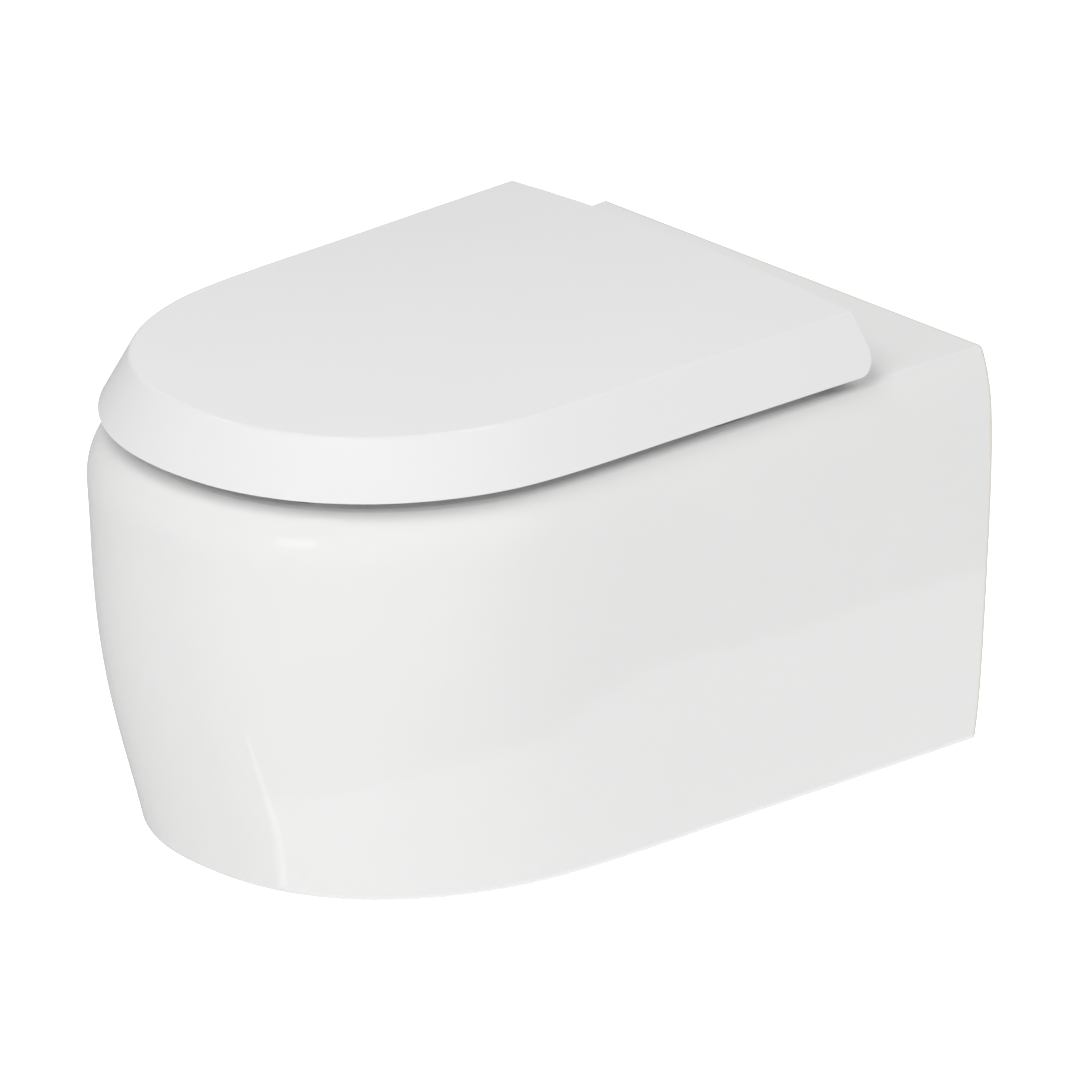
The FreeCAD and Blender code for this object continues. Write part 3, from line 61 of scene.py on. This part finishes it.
# %% Place the camera
VIEW_AZIMUTH = math.radians(46.99)
VIEW_ELEVATION = math.radians(21.76)
LENS = 1000.0                       # millimetres, on a sensor 36 mm wide
SENSOR = 36.0
PICTURE_WIDTH = 1080                # pixels
PIXELS_PER_METRE = 1590.0           # at the object
FRAME_WIDTH = PICTURE_WIDTH / PIXELS_PER_METRE
AIM = Vector((0.02235, -0.23874, -0.03602))


def heading(azimuth, elevation):
    """The direction towards an azimuth and elevation in radians: azimuth 0 is straight out from the wall."""
    return Vector((math.sin(azimuth) * math.cos(elevation), -math.cos(azimuth) * math.cos(elevation),
                   math.sin(elevation)))


away = heading(VIEW_AZIMUTH, VIEW_ELEVATION)
camera_distance = FRAME_WIDTH * LENS / SENSOR
camera_data = bpy.data.cameras.new("studio_camera")
camera_data.lens = LENS
camera_data.sensor_width = SENSOR
camera_data.clip_start = 0.1
camera_data.clip_end = camera_distance * 3
camera = bpy.data.objects.new("studio_camera", camera_data)
bpy.context.scene.collection.objects.link(camera)
camera.location = AIM + away * camera_distance
camera.rotation_mode = "QUATERNION"
camera.rotation_quaternion = (-away).to_track_quat("-Z", "Y")
bpy.context.scene.camera = camera
bpy.context.scene.view_settings.view_transform = "Standard"
print("camera stands %.2f m away" % camera_distance)

# %% [markdown]
# ## Tools for shaders
#
# A finish is a small tree of nodes.  These helpers add a node with its values set in one line, so that
# a tree reads like a list of what it is made of.


# %% Shader helpers
def set_values(node, values):
    """Set a node's inputs by name: a socket is linked, and anything else becomes its value."""
    for name, value in values.items():
        socket = node.inputs[name]
        if isinstance(value, bpy.types.NodeSocket):
            node.id_data.links.new(value, socket)
        else:
            socket.default_value = value
    return node


def add_node(tree, kind, values=None, **settings):
    """Add a node of a kind to a tree, with its settings and its inputs."""
    node = tree.nodes.new("ShaderNode" + kind)
    for name, value in settings.items():
        setattr(node, name, value)
    return set_values(node, values or {})


def calculate(tree, operation, *terms):
    """One step of arithmetic on sockets or numbers; returns its result."""
    return add_node(tree, "Math", dict(enumerate(terms)), operation=operation).outputs[0]


def new_material(name):
    """A material with an empty tree; returns the material, its tree and its output node."""
    material = bpy.data.materials.new(name)
    material.use_nodes = True
    material.node_tree.nodes.clear()
    return material, material.node_tree, add_node(material.node_tree, "OutputMaterial")


def new_group(name, inputs, outputs):
    """A node group from two lists of (socket name, kind, value); returns it with its two end nodes."""
    group = bpy.data.node_groups.new(name, "ShaderNodeTree")
    for socket_name, kind, value in inputs:
        socket = group.interface.new_socket(name=socket_name, in_out="INPUT", socket_type="NodeSocket" + kind)
        if value is not None:
            socket.default_value = value
    for socket_name, kind, _ in outputs:
        group.interface.new_socket(name=socket_name, in_out="OUTPUT", socket_type="NodeSocket" + kind)
    return group, group.nodes.new("NodeGroupInput"), group.nodes.new("NodeGroupOutput")


def use_group(tree, group, values):
    """Put a node group in a tree with its inputs set."""
    node = tree.nodes.new("ShaderNodeGroup")
    node.node_tree = group
    return set_values(node, values)


# %% [markdown]
# ## The studio
#
# The toilet hangs on no wall in the photograph, with plain white all round.  A pale floor lies well
# below it and the world is white to the eye.  Both stay plain to light: the object is lit at a level at
# which a white paint renders about as it is written.
#
# The glaze mirrors the studio faintly.  In the photograph the flank is a little brighter below a long
# curve, where it mirrors a bright sheet that lies under the object.  Following the mirrored rays from
# that curve down to the floor gives the sheet's outline: round in front, straight at the sides.  A
# narrow strip beside it gives the streak on the nose.  Both are brighter to mirrored rays only.  Seen
# from below, the floor is clear.

# %% The floor and its bright sheet
FLOOR_LEVEL = -0.90
FLOOR_REACH = 60.0
FLOOR_SEEN = 0.60                   # added to what the camera sees of the floor, so that it reads as white
FLOOR_GLOW = 0.60                   # what the floor gives back from below, in place of the world it hides
SHEET_ROUND = 1.365                 # the sheet's half width and the radius of its round front
SHEET_LINE = 0.14                   # the line from which its sides run straight towards the back
SHEET_LEFT = 0.17                   # how far it reaches to the left, where the strip begins
SHEET_EDGE = 0.012                  # how softly the sheet ends
STRIP_ENDS = ((-0.24, -1.52), (-0.09, -1.13))
STRIP_HALF_WIDTH = 0.03
STRIP_EDGE = 0.015                  # how softly the strip ends
FLOOR_COLOUR = (0.86, 0.86, 0.86, 1)
FLOOR_MIRRORED = 0.54               # what the glaze mirrors of the floor round the sheet
SHEET_MIRRORED = 1.10               # of the sheet
STRIP_MIRRORED = 1.25               # of the strip
WORLD_MIRRORED = 0.60               # and of the world

floor_mesh = bpy.data.meshes.new("studio_floor")
corners = [(FLOOR_REACH * across, FLOOR_REACH * along, FLOOR_LEVEL)
           for across, along in ((-1, -1), (1, -1), (1, 1), (-1, 1))]
floor_mesh.from_pydata(corners, [], [(0, 1, 2, 3)])
floor = bpy.data.objects.new("studio_floor", floor_mesh)
bpy.context.scene.collection.objects.link(floor)


def soft_inside(tree, distance, edge_at, softness):
    """A mask, 1 where a distance is less than an edge, faded over a width on both sides of it."""
    fade = add_node(tree, "MapRange", {"Value": distance, "From Min": edge_at - softness,
                                       "From Max": edge_at + softness, "To Min": 1.0, "To Max": 0.0},
                    interpolation_type="SMOOTHSTEP")
    return fade.outputs["Result"]


def length_of(tree, across, along):
    """The length of a flat vector given by two sockets: sqrt(a^2 + b^2)."""
    squares = [calculate(tree, "MULTIPLY", value, value) for value in (across, along)]
    return calculate(tree, "SQRT", calculate(tree, "ADD", *squares))


def on_round_sheet(tree, x, y):
    """The sheet's mask: sqrt(x^2 + min(y - c, 0)^2) < r, cut off on the left at -x < l."""
    past_line = calculate(tree, "MINIMUM", calculate(tree, "SUBTRACT", y, SHEET_LINE), 0.0)
    kept = soft_inside(tree, calculate(tree, "MULTIPLY", x, -1.0), SHEET_LEFT, SHEET_EDGE)
    inside = soft_inside(tree, length_of(tree, x, past_line), SHEET_ROUND, SHEET_EDGE)
    return calculate(tree, "MULTIPLY", kept, inside)


def on_strip(tree, x, y):
    """The strip's mask: how far a point lies from the line between the strip's two ends."""
    start, end = (np.array(corner) for corner in STRIP_ENDS)
    run = float(np.linalg.norm(end - start))
    unit = (end - start) / run
    dx = calculate(tree, "SUBTRACT", x, start[0])
    dy = calculate(tree, "SUBTRACT", y, start[1])
    along = calculate(tree, "ADD", calculate(tree, "MULTIPLY", dx, unit[0]),
                      calculate(tree, "MULTIPLY", dy, unit[1]))
    across = calculate(tree, "SUBTRACT", calculate(tree, "MULTIPLY", dy, unit[0]),
                       calculate(tree, "MULTIPLY", dx, unit[1]))
    nearest = calculate(tree, "MINIMUM", calculate(tree, "MAXIMUM", along, 0.0), run)
    past = calculate(tree, "SUBTRACT", along, nearest)
    return soft_inside(tree, length_of(tree, across, past), STRIP_HALF_WIDTH, STRIP_EDGE)


floor_material, tree, output = new_material("studio_floor_white")
rays = add_node(tree, "LightPath")
where = add_node(tree, "SeparateXYZ", {"Vector": add_node(tree, "TexCoord").outputs["Object"]})
x, y = where.outputs["X"], where.outputs["Y"]
with_sheet = calculate(tree, "MULTIPLY_ADD", on_round_sheet(tree, x, y), SHEET_MIRRORED - FLOOR_MIRRORED,
                       FLOOR_MIRRORED)
mirrored = calculate(tree, "MULTIPLY_ADD", on_strip(tree, x, y), STRIP_MIRRORED - FLOOR_MIRRORED,
                     with_sheet)
seen = calculate(tree, "MULTIPLY_ADD", rays.outputs["Is Camera Ray"], FLOOR_SEEN, FLOOR_GLOW)
matte = add_node(tree, "BsdfDiffuse", {"Color": FLOOR_COLOUR})
lift = add_node(tree, "Emission", {"Strength": seen})
lifted = add_node(tree, "AddShader", {0: matte.outputs[0], 1: lift.outputs[0]})
mirror_view = add_node(tree, "Emission", {"Strength": mirrored})
pick = add_node(tree, "MixShader", {0: rays.outputs["Is Glossy Ray"], 1: lifted.outputs[0],
                                    2: mirror_view.outputs[0]})
from_below = add_node(tree, "NewGeometry").outputs["Backfacing"]
one_sided = add_node(tree, "MixShader", {0: from_below, 1: pick.outputs[0],
                                         2: add_node(tree, "BsdfTransparent").outputs[0]})
set_values(output, {"Surface": one_sided.outputs[0]})
floor_mesh.materials.append(floor_material)

# %% The world
WORLD_LIGHT = 0.30
world = bpy.data.worlds.new("white_studio")
bpy.context.scene.world = world
world.use_nodes = True
tree = world.node_tree
tree.nodes.clear()
rays = add_node(tree, "LightPath")
lit = add_node(tree, "Background", {"Color": (1, 1, 1, 1), "Strength": WORLD_LIGHT})
mirror_view = add_node(tree, "Background", {"Color": (1, 1, 1, 1), "Strength": WORLD_MIRRORED})
white_view = add_node(tree, "Background", {"Color": (1, 1, 1, 1), "Strength": 1.0})
for_mirrors = add_node(tree, "MixShader", {0: rays.outputs["Is Glossy Ray"], 1: lit.outputs[0],
                                           2: mirror_view.outputs[0]})
for_camera = add_node(tree, "MixShader", {0: rays.outputs["Is Camera Ray"], 1: for_mirrors.outputs[0],
                                          2: white_view.outputs[0]})
add_node(tree, "OutputWorld", {"Surface": for_camera.outputs[0]})

# %% [markdown]
# ## The lamps
#
# Five large lamps light the object softly from all round, and the glaze mirrors none of them.  Four
# small ones are dim but mirrored: a soft patch on the body under the lid, and three where the rays
# mirrored by the creases of lid and pan lead, so that the creases catch the light as in the photograph.

# %% The lamps
LAMP_AIM = Vector((0, -0.27, -0.05))
LAMP_DISTANCE = 3.0
LAMPS = {                           # azimuth and elevation in degrees, size, watts, mirrored by the glaze
    "key_lamp": (25, 55, 1.8, 48.5, False),
    "flank_lamp": (85, 5, 1.8, 8.3, False),
    "nose_lamp": (-45, 30, 1.8, 2.2, False),
    "back_lamp_left": (-140, 40, 1.8, 16.0, False),
    "back_lamp_right": (140, 40, 1.8, 9.5, False),
    "soft_patch": (19, 25, 0.8, 2.6, True),
    "crease_patch_front": (20, 66, 0.5, 3.0, True),
    "crease_patch_side": (130, 66, 0.5, 2.5, True),
    "crease_patch_nose": (-60, 52, 0.5, 2.0, True),
}


def soft_lamp(name, azimuth, elevation, size, power, mirrored):
    """Place a square lamp that faces the pan's middle, and that the glaze mirrors or doesn't."""
    data = bpy.data.lights.new(name, "AREA")
    data.shape = "SQUARE"
    data.size = size
    data.energy = power
    lamp = bpy.data.objects.new(name, data)
    bpy.context.scene.collection.objects.link(lamp)
    direction = heading(math.radians(azimuth), math.radians(elevation))
    lamp.location = LAMP_AIM + direction * LAMP_DISTANCE
    lamp.rotation_mode = "QUATERNION"
    lamp.rotation_quaternion = (-direction).to_track_quat("-Z", "Y")
    lamp.visible_glossy = mirrored


for lamp_name, row in LAMPS.items():
    soft_lamp(lamp_name, *row)
print("lamps:", len(LAMPS), "with", sum(row[3] for row in LAMPS.values()), "W in all")

# %% [markdown]
# ## Effects that finishes share
#
# Fired glaze is never quite flat: it sags in long shallow waves and has a fine orange peel.  Moulded
# plastic, rubber and plating have relief of their own at other sizes.  One group makes both, from a
# wave and a grain, each with a real size and height.  A second group makes slow patches, used for how
# rough a surface is, where hands, water and polish have left it uneven.

# %% Relief and patches
CLOUDS_FROM = 0.3                   # the span of a noise's values that patches spread out
CLOUDS_TO = 0.7

relief_group, ends_in, ends_out = new_group(
    "relief",
    [("Vector", "Vector", None), ("Waves Per Metre", "Float", 20.0), ("Wave Height", "Float", 0.00005),
     ("Grains Per Metre", "Float", 250.0), ("Grain Height", "Float", 0.000004)],
    [("Normal", "Vector", None)])
waves = add_node(relief_group, "TexNoise", {"Vector": ends_in.outputs["Vector"],
                                            "Scale": ends_in.outputs["Waves Per Metre"], "Detail": 1.0})
grains = add_node(relief_group, "TexNoise", {"Vector": ends_in.outputs["Vector"],
                                             "Scale": ends_in.outputs["Grains Per Metre"], "Detail": 2.0})
wave_bump = add_node(relief_group, "Bump", {"Height": waves.outputs[0],
                                            "Distance": ends_in.outputs["Wave Height"]})
grain_bump = add_node(relief_group, "Bump", {"Height": grains.outputs[0],
                                             "Distance": ends_in.outputs["Grain Height"],
                                             "Normal": wave_bump.outputs[0]})
set_values(ends_out, {"Normal": grain_bump.outputs[0]})

patch_group, ends_in, ends_out = new_group(
    "patches",
    [("Vector", "Vector", None), ("Patches Per Metre", "Float", 40.0), ("Low", "Float", 0.0),
     ("High", "Float", 1.0)],
    [("Value", "Float", None)])
clouds = add_node(patch_group, "TexNoise", {"Vector": ends_in.outputs["Vector"],
                                            "Scale": ends_in.outputs["Patches Per Metre"], "Detail": 4.0})
spread = add_node(patch_group, "MapRange", {"Value": clouds.outputs[0],
                                            "From Min": CLOUDS_FROM, "From Max": CLOUDS_TO,
                                            "To Min": ends_in.outputs["Low"],
                                            "To Max": ends_in.outputs["High"]})
set_values(ends_out, {"Value": spread.outputs["Result"]})

# %% [markdown]
# ## Where the glaze stops
#
# A pan is glazed where water and hands reach it.  Its edge on the wall is ground flat after firing, and
# the hollow behind it stays bare, with some glaze that drifted in.  The mask finds the hollow with the
# formula of the skirt's own flank, drawn in by half its wall: |x| < w - (z - c)^2 / 2r + k y.  The
# flank's round r is tight above its widest line c and long below it.

# %% The bare ceramic mask
GROUND_EDGE = -0.0015               # bare between this and the wall
HOLLOW_FRONT = -0.150               # the bare hollow reaches from here to the wall
HOLLOW_FLOOR = -0.189
HOLLOW_CEILING = 0.068
FLANK_HALF_WIDTH = 0.1781           # half way through the skirt's wall at its widest line
FLANK_LINE = 0.030
FLANK_ROUND = 1.74
SHOULDER_ROUND = 0.11
FLANK_TAPER = 0.023
EDGE_DRIFT = 0.012                  # how far the hollow's front edge wanders
DRIFTS_PER_METRE = 60.0             # and how often
WAY_HALF_WIDTH = 0.080              # the flush water's way out into the bowl is glazed: above this floor
WAY_FLOOR = 0.015                   # and within this half width, the hollow's front edge lies farther back
WAY_DEPTH = 0.048

bare_group, ends_in, ends_out = new_group("bare_ceramic", [("Vector", "Vector", None)],
                                          [("Mask", "Float", None)])
point = add_node(bare_group, "SeparateXYZ", {"Vector": ends_in.outputs["Vector"]})
x, y, z = point.outputs
drift = add_node(bare_group, "TexNoise", {"Vector": ends_in.outputs["Vector"], "Scale": DRIFTS_PER_METRE,
                                          "Detail": 3.0})
below = calculate(bare_group, "SUBTRACT", z, FLANK_LINE)
bend = calculate(bare_group, "MULTIPLY_ADD", calculate(bare_group, "GREATER_THAN", z, FLANK_LINE),
                 0.5 / SHOULDER_ROUND - 0.5 / FLANK_ROUND, 0.5 / FLANK_ROUND)
fall = calculate(bare_group, "MULTIPLY", calculate(bare_group, "MULTIPLY", below, below), bend)
half_width = calculate(bare_group, "SUBTRACT", calculate(bare_group, "MULTIPLY_ADD", y, FLANK_TAPER,
                                                         FLANK_HALF_WIDTH), fall)
across = calculate(bare_group, "ABSOLUTE", x)
in_way = calculate(bare_group, "MULTIPLY", calculate(bare_group, "LESS_THAN", across, WAY_HALF_WIDTH),
                   calculate(bare_group, "LESS_THAN", WAY_FLOOR, z))
edge = calculate(bare_group, "MULTIPLY_ADD", in_way, WAY_DEPTH, HOLLOW_FRONT - EDGE_DRIFT / 2)
front = calculate(bare_group, "MULTIPLY_ADD", drift.outputs[0], EDGE_DRIFT, edge)
inside = calculate(bare_group, "LESS_THAN", across, half_width)
for low, high in ((front, y), (HOLLOW_FLOOR, z), (z, HOLLOW_CEILING)):
    inside = calculate(bare_group, "MULTIPLY", inside, calculate(bare_group, "LESS_THAN", low, high))
ground = calculate(bare_group, "GREATER_THAN", y, GROUND_EDGE)
set_values(ends_out, {"Mask": calculate(bare_group, "MAXIMUM", inside, ground)})

# %% [markdown]
# ## The finishes
#
# Each row of the table is one finish: its colour, how metallic it is, the range of its roughness and
# the size of its patches, then the size and height of its waves and of its grain.  Heights are real:
# the glaze waves by a twentieth of a millimetre, and its orange peel is a few thousandths.

# %% Finishes from a table
FINISHES = {
    # slot: colour, metallic, roughness low and high, patches per metre, waves per metre and height,
    #       grains per metre and height
    "seat_duroplast": ((0.80, 0.80, 0.80), 0.0, 0.06, 0.09, 30, 12, 3e-5, 900, 8e-7),
    "white_plastic": ((0.74, 0.74, 0.73), 0.0, 0.34, 0.46, 90, 60, 1e-5, 2600, 6e-6),
    "grey_plastic": ((0.36, 0.37, 0.38), 0.0, 0.36, 0.50, 90, 60, 1e-5, 2600, 6e-6),
    "damper_plastic": ((0.035, 0.037, 0.042), 0.0, 0.32, 0.46, 90, 60, 1e-5, 2600, 5e-6),
    "soft_rubber": ((0.50, 0.51, 0.52), 0.0, 0.60, 0.78, 120, 70, 2e-5, 2200, 1.2e-5),
    "black_rubber": ((0.016, 0.016, 0.017), 0.0, 0.55, 0.75, 120, 70, 2e-5, 2200, 1.5e-5),
    "zinc_steel": ((0.62, 0.63, 0.64), 1.0, 0.26, 0.46, 160, 120, 8e-6, 2400, 4e-6),
    "stainless_steel": ((0.58, 0.57, 0.56), 1.0, 0.16, 0.30, 160, 90, 4e-6, 3000, 2e-6),
    "polished_chrome": ((0.64, 0.65, 0.66), 1.0, 0.05, 0.10, 120, 40, 4e-6, 2000, 4e-7),
    "brass_nut": ((0.66, 0.47, 0.20), 1.0, 0.24, 0.42, 160, 100, 6e-6, 2600, 3e-6),
}
GLAZE = ((0.80, 0.80, 0.795), 0.0, 0.025, 0.04, 25, 18, 4e-5, 260, 2e-6)
BARE_COLOUR = (0.70, 0.66, 0.59, 1)
BARE_ROUGHNESS = 0.85
TINT = 0.01                         # how much darker the patches of a finish are
TONE_SPREAD = 3                     # and how much wider than the patches of its roughness


def shaded(tree, point, row):
    """A principled shader with a finish's colour, roughness patches and relief."""
    colour, metallic, low, high, patches, waves, wave_height, grains, grain_height = row
    roughness = use_group(tree, patch_group, {"Vector": point, "Patches Per Metre": patches,
                                              "Low": low, "High": high})
    tone = use_group(tree, patch_group, {"Vector": point, "Patches Per Metre": patches / TONE_SPREAD,
                                         "Low": 0.0, "High": 1.0})
    relief = use_group(tree, relief_group, {"Vector": point,
                                            "Waves Per Metre": waves, "Wave Height": wave_height,
                                            "Grains Per Metre": grains, "Grain Height": grain_height})
    paint = add_node(tree, "Mix", {6: (*colour, 1), 7: tuple(c * (1 - TINT) for c in colour) + (1,),
                                   0: tone.outputs["Value"]}, data_type="RGBA")
    return add_node(tree, "BsdfPrincipled", {"Base Color": paint.outputs[2], "Metallic": metallic,
                                             "Roughness": roughness.outputs["Value"],
                                             "Normal": relief.outputs["Normal"]})


materials = {}
for slot, row in FINISHES.items():
    material, tree, output = new_material(slot)
    point = add_node(tree, "TexCoord").outputs["Object"]
    set_values(output, {"Surface": shaded(tree, point, row).outputs[0]})
    materials[slot] = material

# %% Glazed ceramic, bare at the wall and in the hollow
material, tree, output = new_material("glazed_ceramic")
point = add_node(tree, "TexCoord").outputs["Object"]
glaze = shaded(tree, point, GLAZE)
bare = add_node(tree, "BsdfPrincipled", {"Base Color": BARE_COLOUR, "Roughness": BARE_ROUGHNESS})
is_bare = use_group(tree, bare_group, {"Vector": point})
both = add_node(tree, "MixShader", {0: is_bare.outputs["Mask"], 1: glaze.outputs[0], 2: bare.outputs[0]})
set_values(output, {"Surface": both.outputs[0]})
materials["glazed_ceramic"] = material

for part in frame["record"]["subparts"]:
    mesh = frame["nodes"][part["node"]].data
    mesh.materials.clear()
    mesh.materials.append(materials[part["material_slot"]])
print("finishes:", len(materials))

# %% [markdown]
# ## Threads
#
# The engineering model keeps its threads plain.  Here the wall studs and the bolts under the seat get
# real ones, each as a single surface: rings of points along the axis, with the radius of every point
# from one formula.  At height h and turn a, the radius is the profile's own, less the thread's depth
# times how far the point lies from a crest: d |2 frac(h / p - a / 2 pi) - 1|, flattened at crest and
# root.  The thread fades in over half a turn, as a cut thread does.

# %% Threaded rods
THREAD_DEPTH = 0.613                # of the pitch, for a metric thread
FLAT_SHARE = 0.14                   # of a turn that is flat at the crest and at the root
RINGS_PER_TURN = 8
POINTS_ROUND = 40
SAME_HEIGHT = 1e-6                  # rings closer than this are one
SHARP_ANGLE = math.radians(40)


def thread_cut(height, angle, start, end, pitch):
    """How deep a thread is cut, shape (rings, points): d p clip((|2 frac(h/p - a/2pi) - 1| - f) / (1 - 2f)).

    h is the height, a the angle, p the pitch, d the depth as a share of it and f the flat share of a turn.
    """
    turn = np.mod(height / pitch - angle / (2 * np.pi), 1.0)
    wave = np.clip((np.abs(2 * turn - 1) - FLAT_SHARE) / (1 - 2 * FLAT_SHARE), 0, 1)
    fade = np.clip(np.minimum(height - start, end - height) / (pitch / 2), 0, 1)
    return pitch * THREAD_DEPTH * wave * fade


def rod_rings(profile, threads):
    """The heights and radii of a rod's rings: its profile's corners, and close steps along its threads."""
    heights, radii = (np.array(column, dtype=float) for column in zip(*profile))
    fine = [np.arange(start, end, pitch / RINGS_PER_TURN) for start, end, pitch in threads]
    extra = np.concatenate(fine)
    extra = extra[np.abs(extra[:, None] - heights[None, :]).min(axis=1) > SAME_HEIGHT]
    order = np.argsort(np.concatenate([heights, extra]), kind="stable")
    every_height = np.concatenate([heights, extra])[order]
    every_radius = np.concatenate([radii, np.interp(extra, heights, radii)])[order]
    return every_height, every_radius


def threaded_rod(profile, threads, base, along):
    """Points and faces of a rod from its base along a direction, as rings closed by a point at each end.

    profile: (height, radius) corners from the base up.  threads: (start, end, pitch) stretches of it.
    """
    height, radius = rod_rings(profile, threads)
    angle = np.arange(POINTS_ROUND) * 2 * np.pi / POINTS_ROUND
    grid = np.repeat(radius[:, None], POINTS_ROUND, axis=1)
    for start, end, pitch in threads:
        on_thread = ((height >= start) & (height <= end))[:, None]
        grid = grid - np.where(on_thread, thread_cut(height[:, None], angle[None, :], start, end, pitch), 0.0)
    axis = np.array(along, dtype=float)
    side = np.roll(axis, 1)
    other = np.cross(axis, side)
    outward = np.cos(angle)[None, :, None] * side + np.sin(angle)[None, :, None] * other
    rings = np.array(base)[None, None, :] + height[:, None, None] * axis + grid[:, :, None] * outward
    count = len(height)
    index = np.arange(count * POINTS_ROUND).reshape(count, POINTS_ROUND)
    following = np.roll(index, -1, axis=1)
    quads = np.stack([index[:-1], following[:-1], following[1:], index[1:]], axis=-1).reshape(-1, 4)
    first, last = count * POINTS_ROUND, count * POINTS_ROUND + 1
    caps = [(first, b, a) for a, b in zip(index[0], following[0])]
    caps += [(last, a, b) for a, b in zip(index[-1], following[-1])]
    points = np.concatenate([rings.reshape(-1, 3), [np.array(base) + height[0] * axis],
                             [np.array(base) + height[-1] * axis]])
    return points, quads.tolist() + caps


def rods_piece(name, rods, body, slot, replaced):
    """One object from several rods, on a body, that stands for a plain piece of the engineering model."""
    points, faces, offset = [], [], 0
    for rod_points, rod_faces in rods:
        points.append(rod_points)
        faces += [tuple(int(i) + offset for i in face) for face in rod_faces]
        offset += len(rod_points)
    mesh = bpy.data.meshes.new(name)
    mesh.from_pydata(np.concatenate(points).tolist(), [], faces)
    mesh.materials.append(materials[slot])
    mesh.shade_smooth()
    mesh.set_sharp_from_angle(angle=SHARP_ANGLE)
    piece = bpy.data.objects.new(name, mesh)
    bpy.context.scene.collection.objects.link(piece)
    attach(piece, body)
    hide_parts(replaced)
    print(name, "triangles:", sum(len(face) - 2 for face in faces))


# %% Wall studs: M12, plain between the threads
STUD_SPACING = 0.18
STUD_HEAD = -0.082                  # the end of a stud in the pan
STUD_PITCH = 0.00175
STUD_PROFILE = [(0.0, 0.005), (0.001, 0.006), (0.026, 0.006), (0.0262, 0.0054), (0.0798, 0.0054),
                (0.080, 0.006), (0.126, 0.006), (0.127, 0.005)]
STUD_THREADS = [(0.0, 0.026, STUD_PITCH), (0.080, 0.127, STUD_PITCH)]
studs = [threaded_rod(STUD_PROFILE, STUD_THREADS, (x, STUD_HEAD, 0.0), (0, 1, 0))
         for x in (-STUD_SPACING / 2, STUD_SPACING / 2)]
rods_piece("threaded_wall_studs", studs, "pan", "zinc_steel", "wall_studs")

# %% Hinge bolts: M8 below, a collar in the disc and a necked post above
BOLT_SPACING = 0.155
BOLT_LINE = -0.108                  # how far out from the wall the bolts stand
BOLT_BASE = 0.029
BOLT_PITCH = 0.00125
BOLT_PROFILE = [(0.0, 0.003), (0.001, 0.004), (0.049, 0.004), (0.0491, 0.0075), (0.051, 0.0075),
                (0.0511, 0.0045), (0.0552, 0.0045), (0.0553, 0.003), (0.0578, 0.003), (0.0588, 0.0045),
                (0.0605, 0.0045), (0.062, 0.003)]
BOLT_THREADS = [(0.0, 0.034, BOLT_PITCH)]
bolts = [threaded_rod(BOLT_PROFILE, BOLT_THREADS, (x, BOLT_LINE, BOLT_BASE), (0, 0, 1))
         for x in (-BOLT_SPACING / 2, BOLT_SPACING / 2)]
rods_piece("threaded_hinge_bolts", bolts, "pan", "stainless_steel", "hinge_bolts")
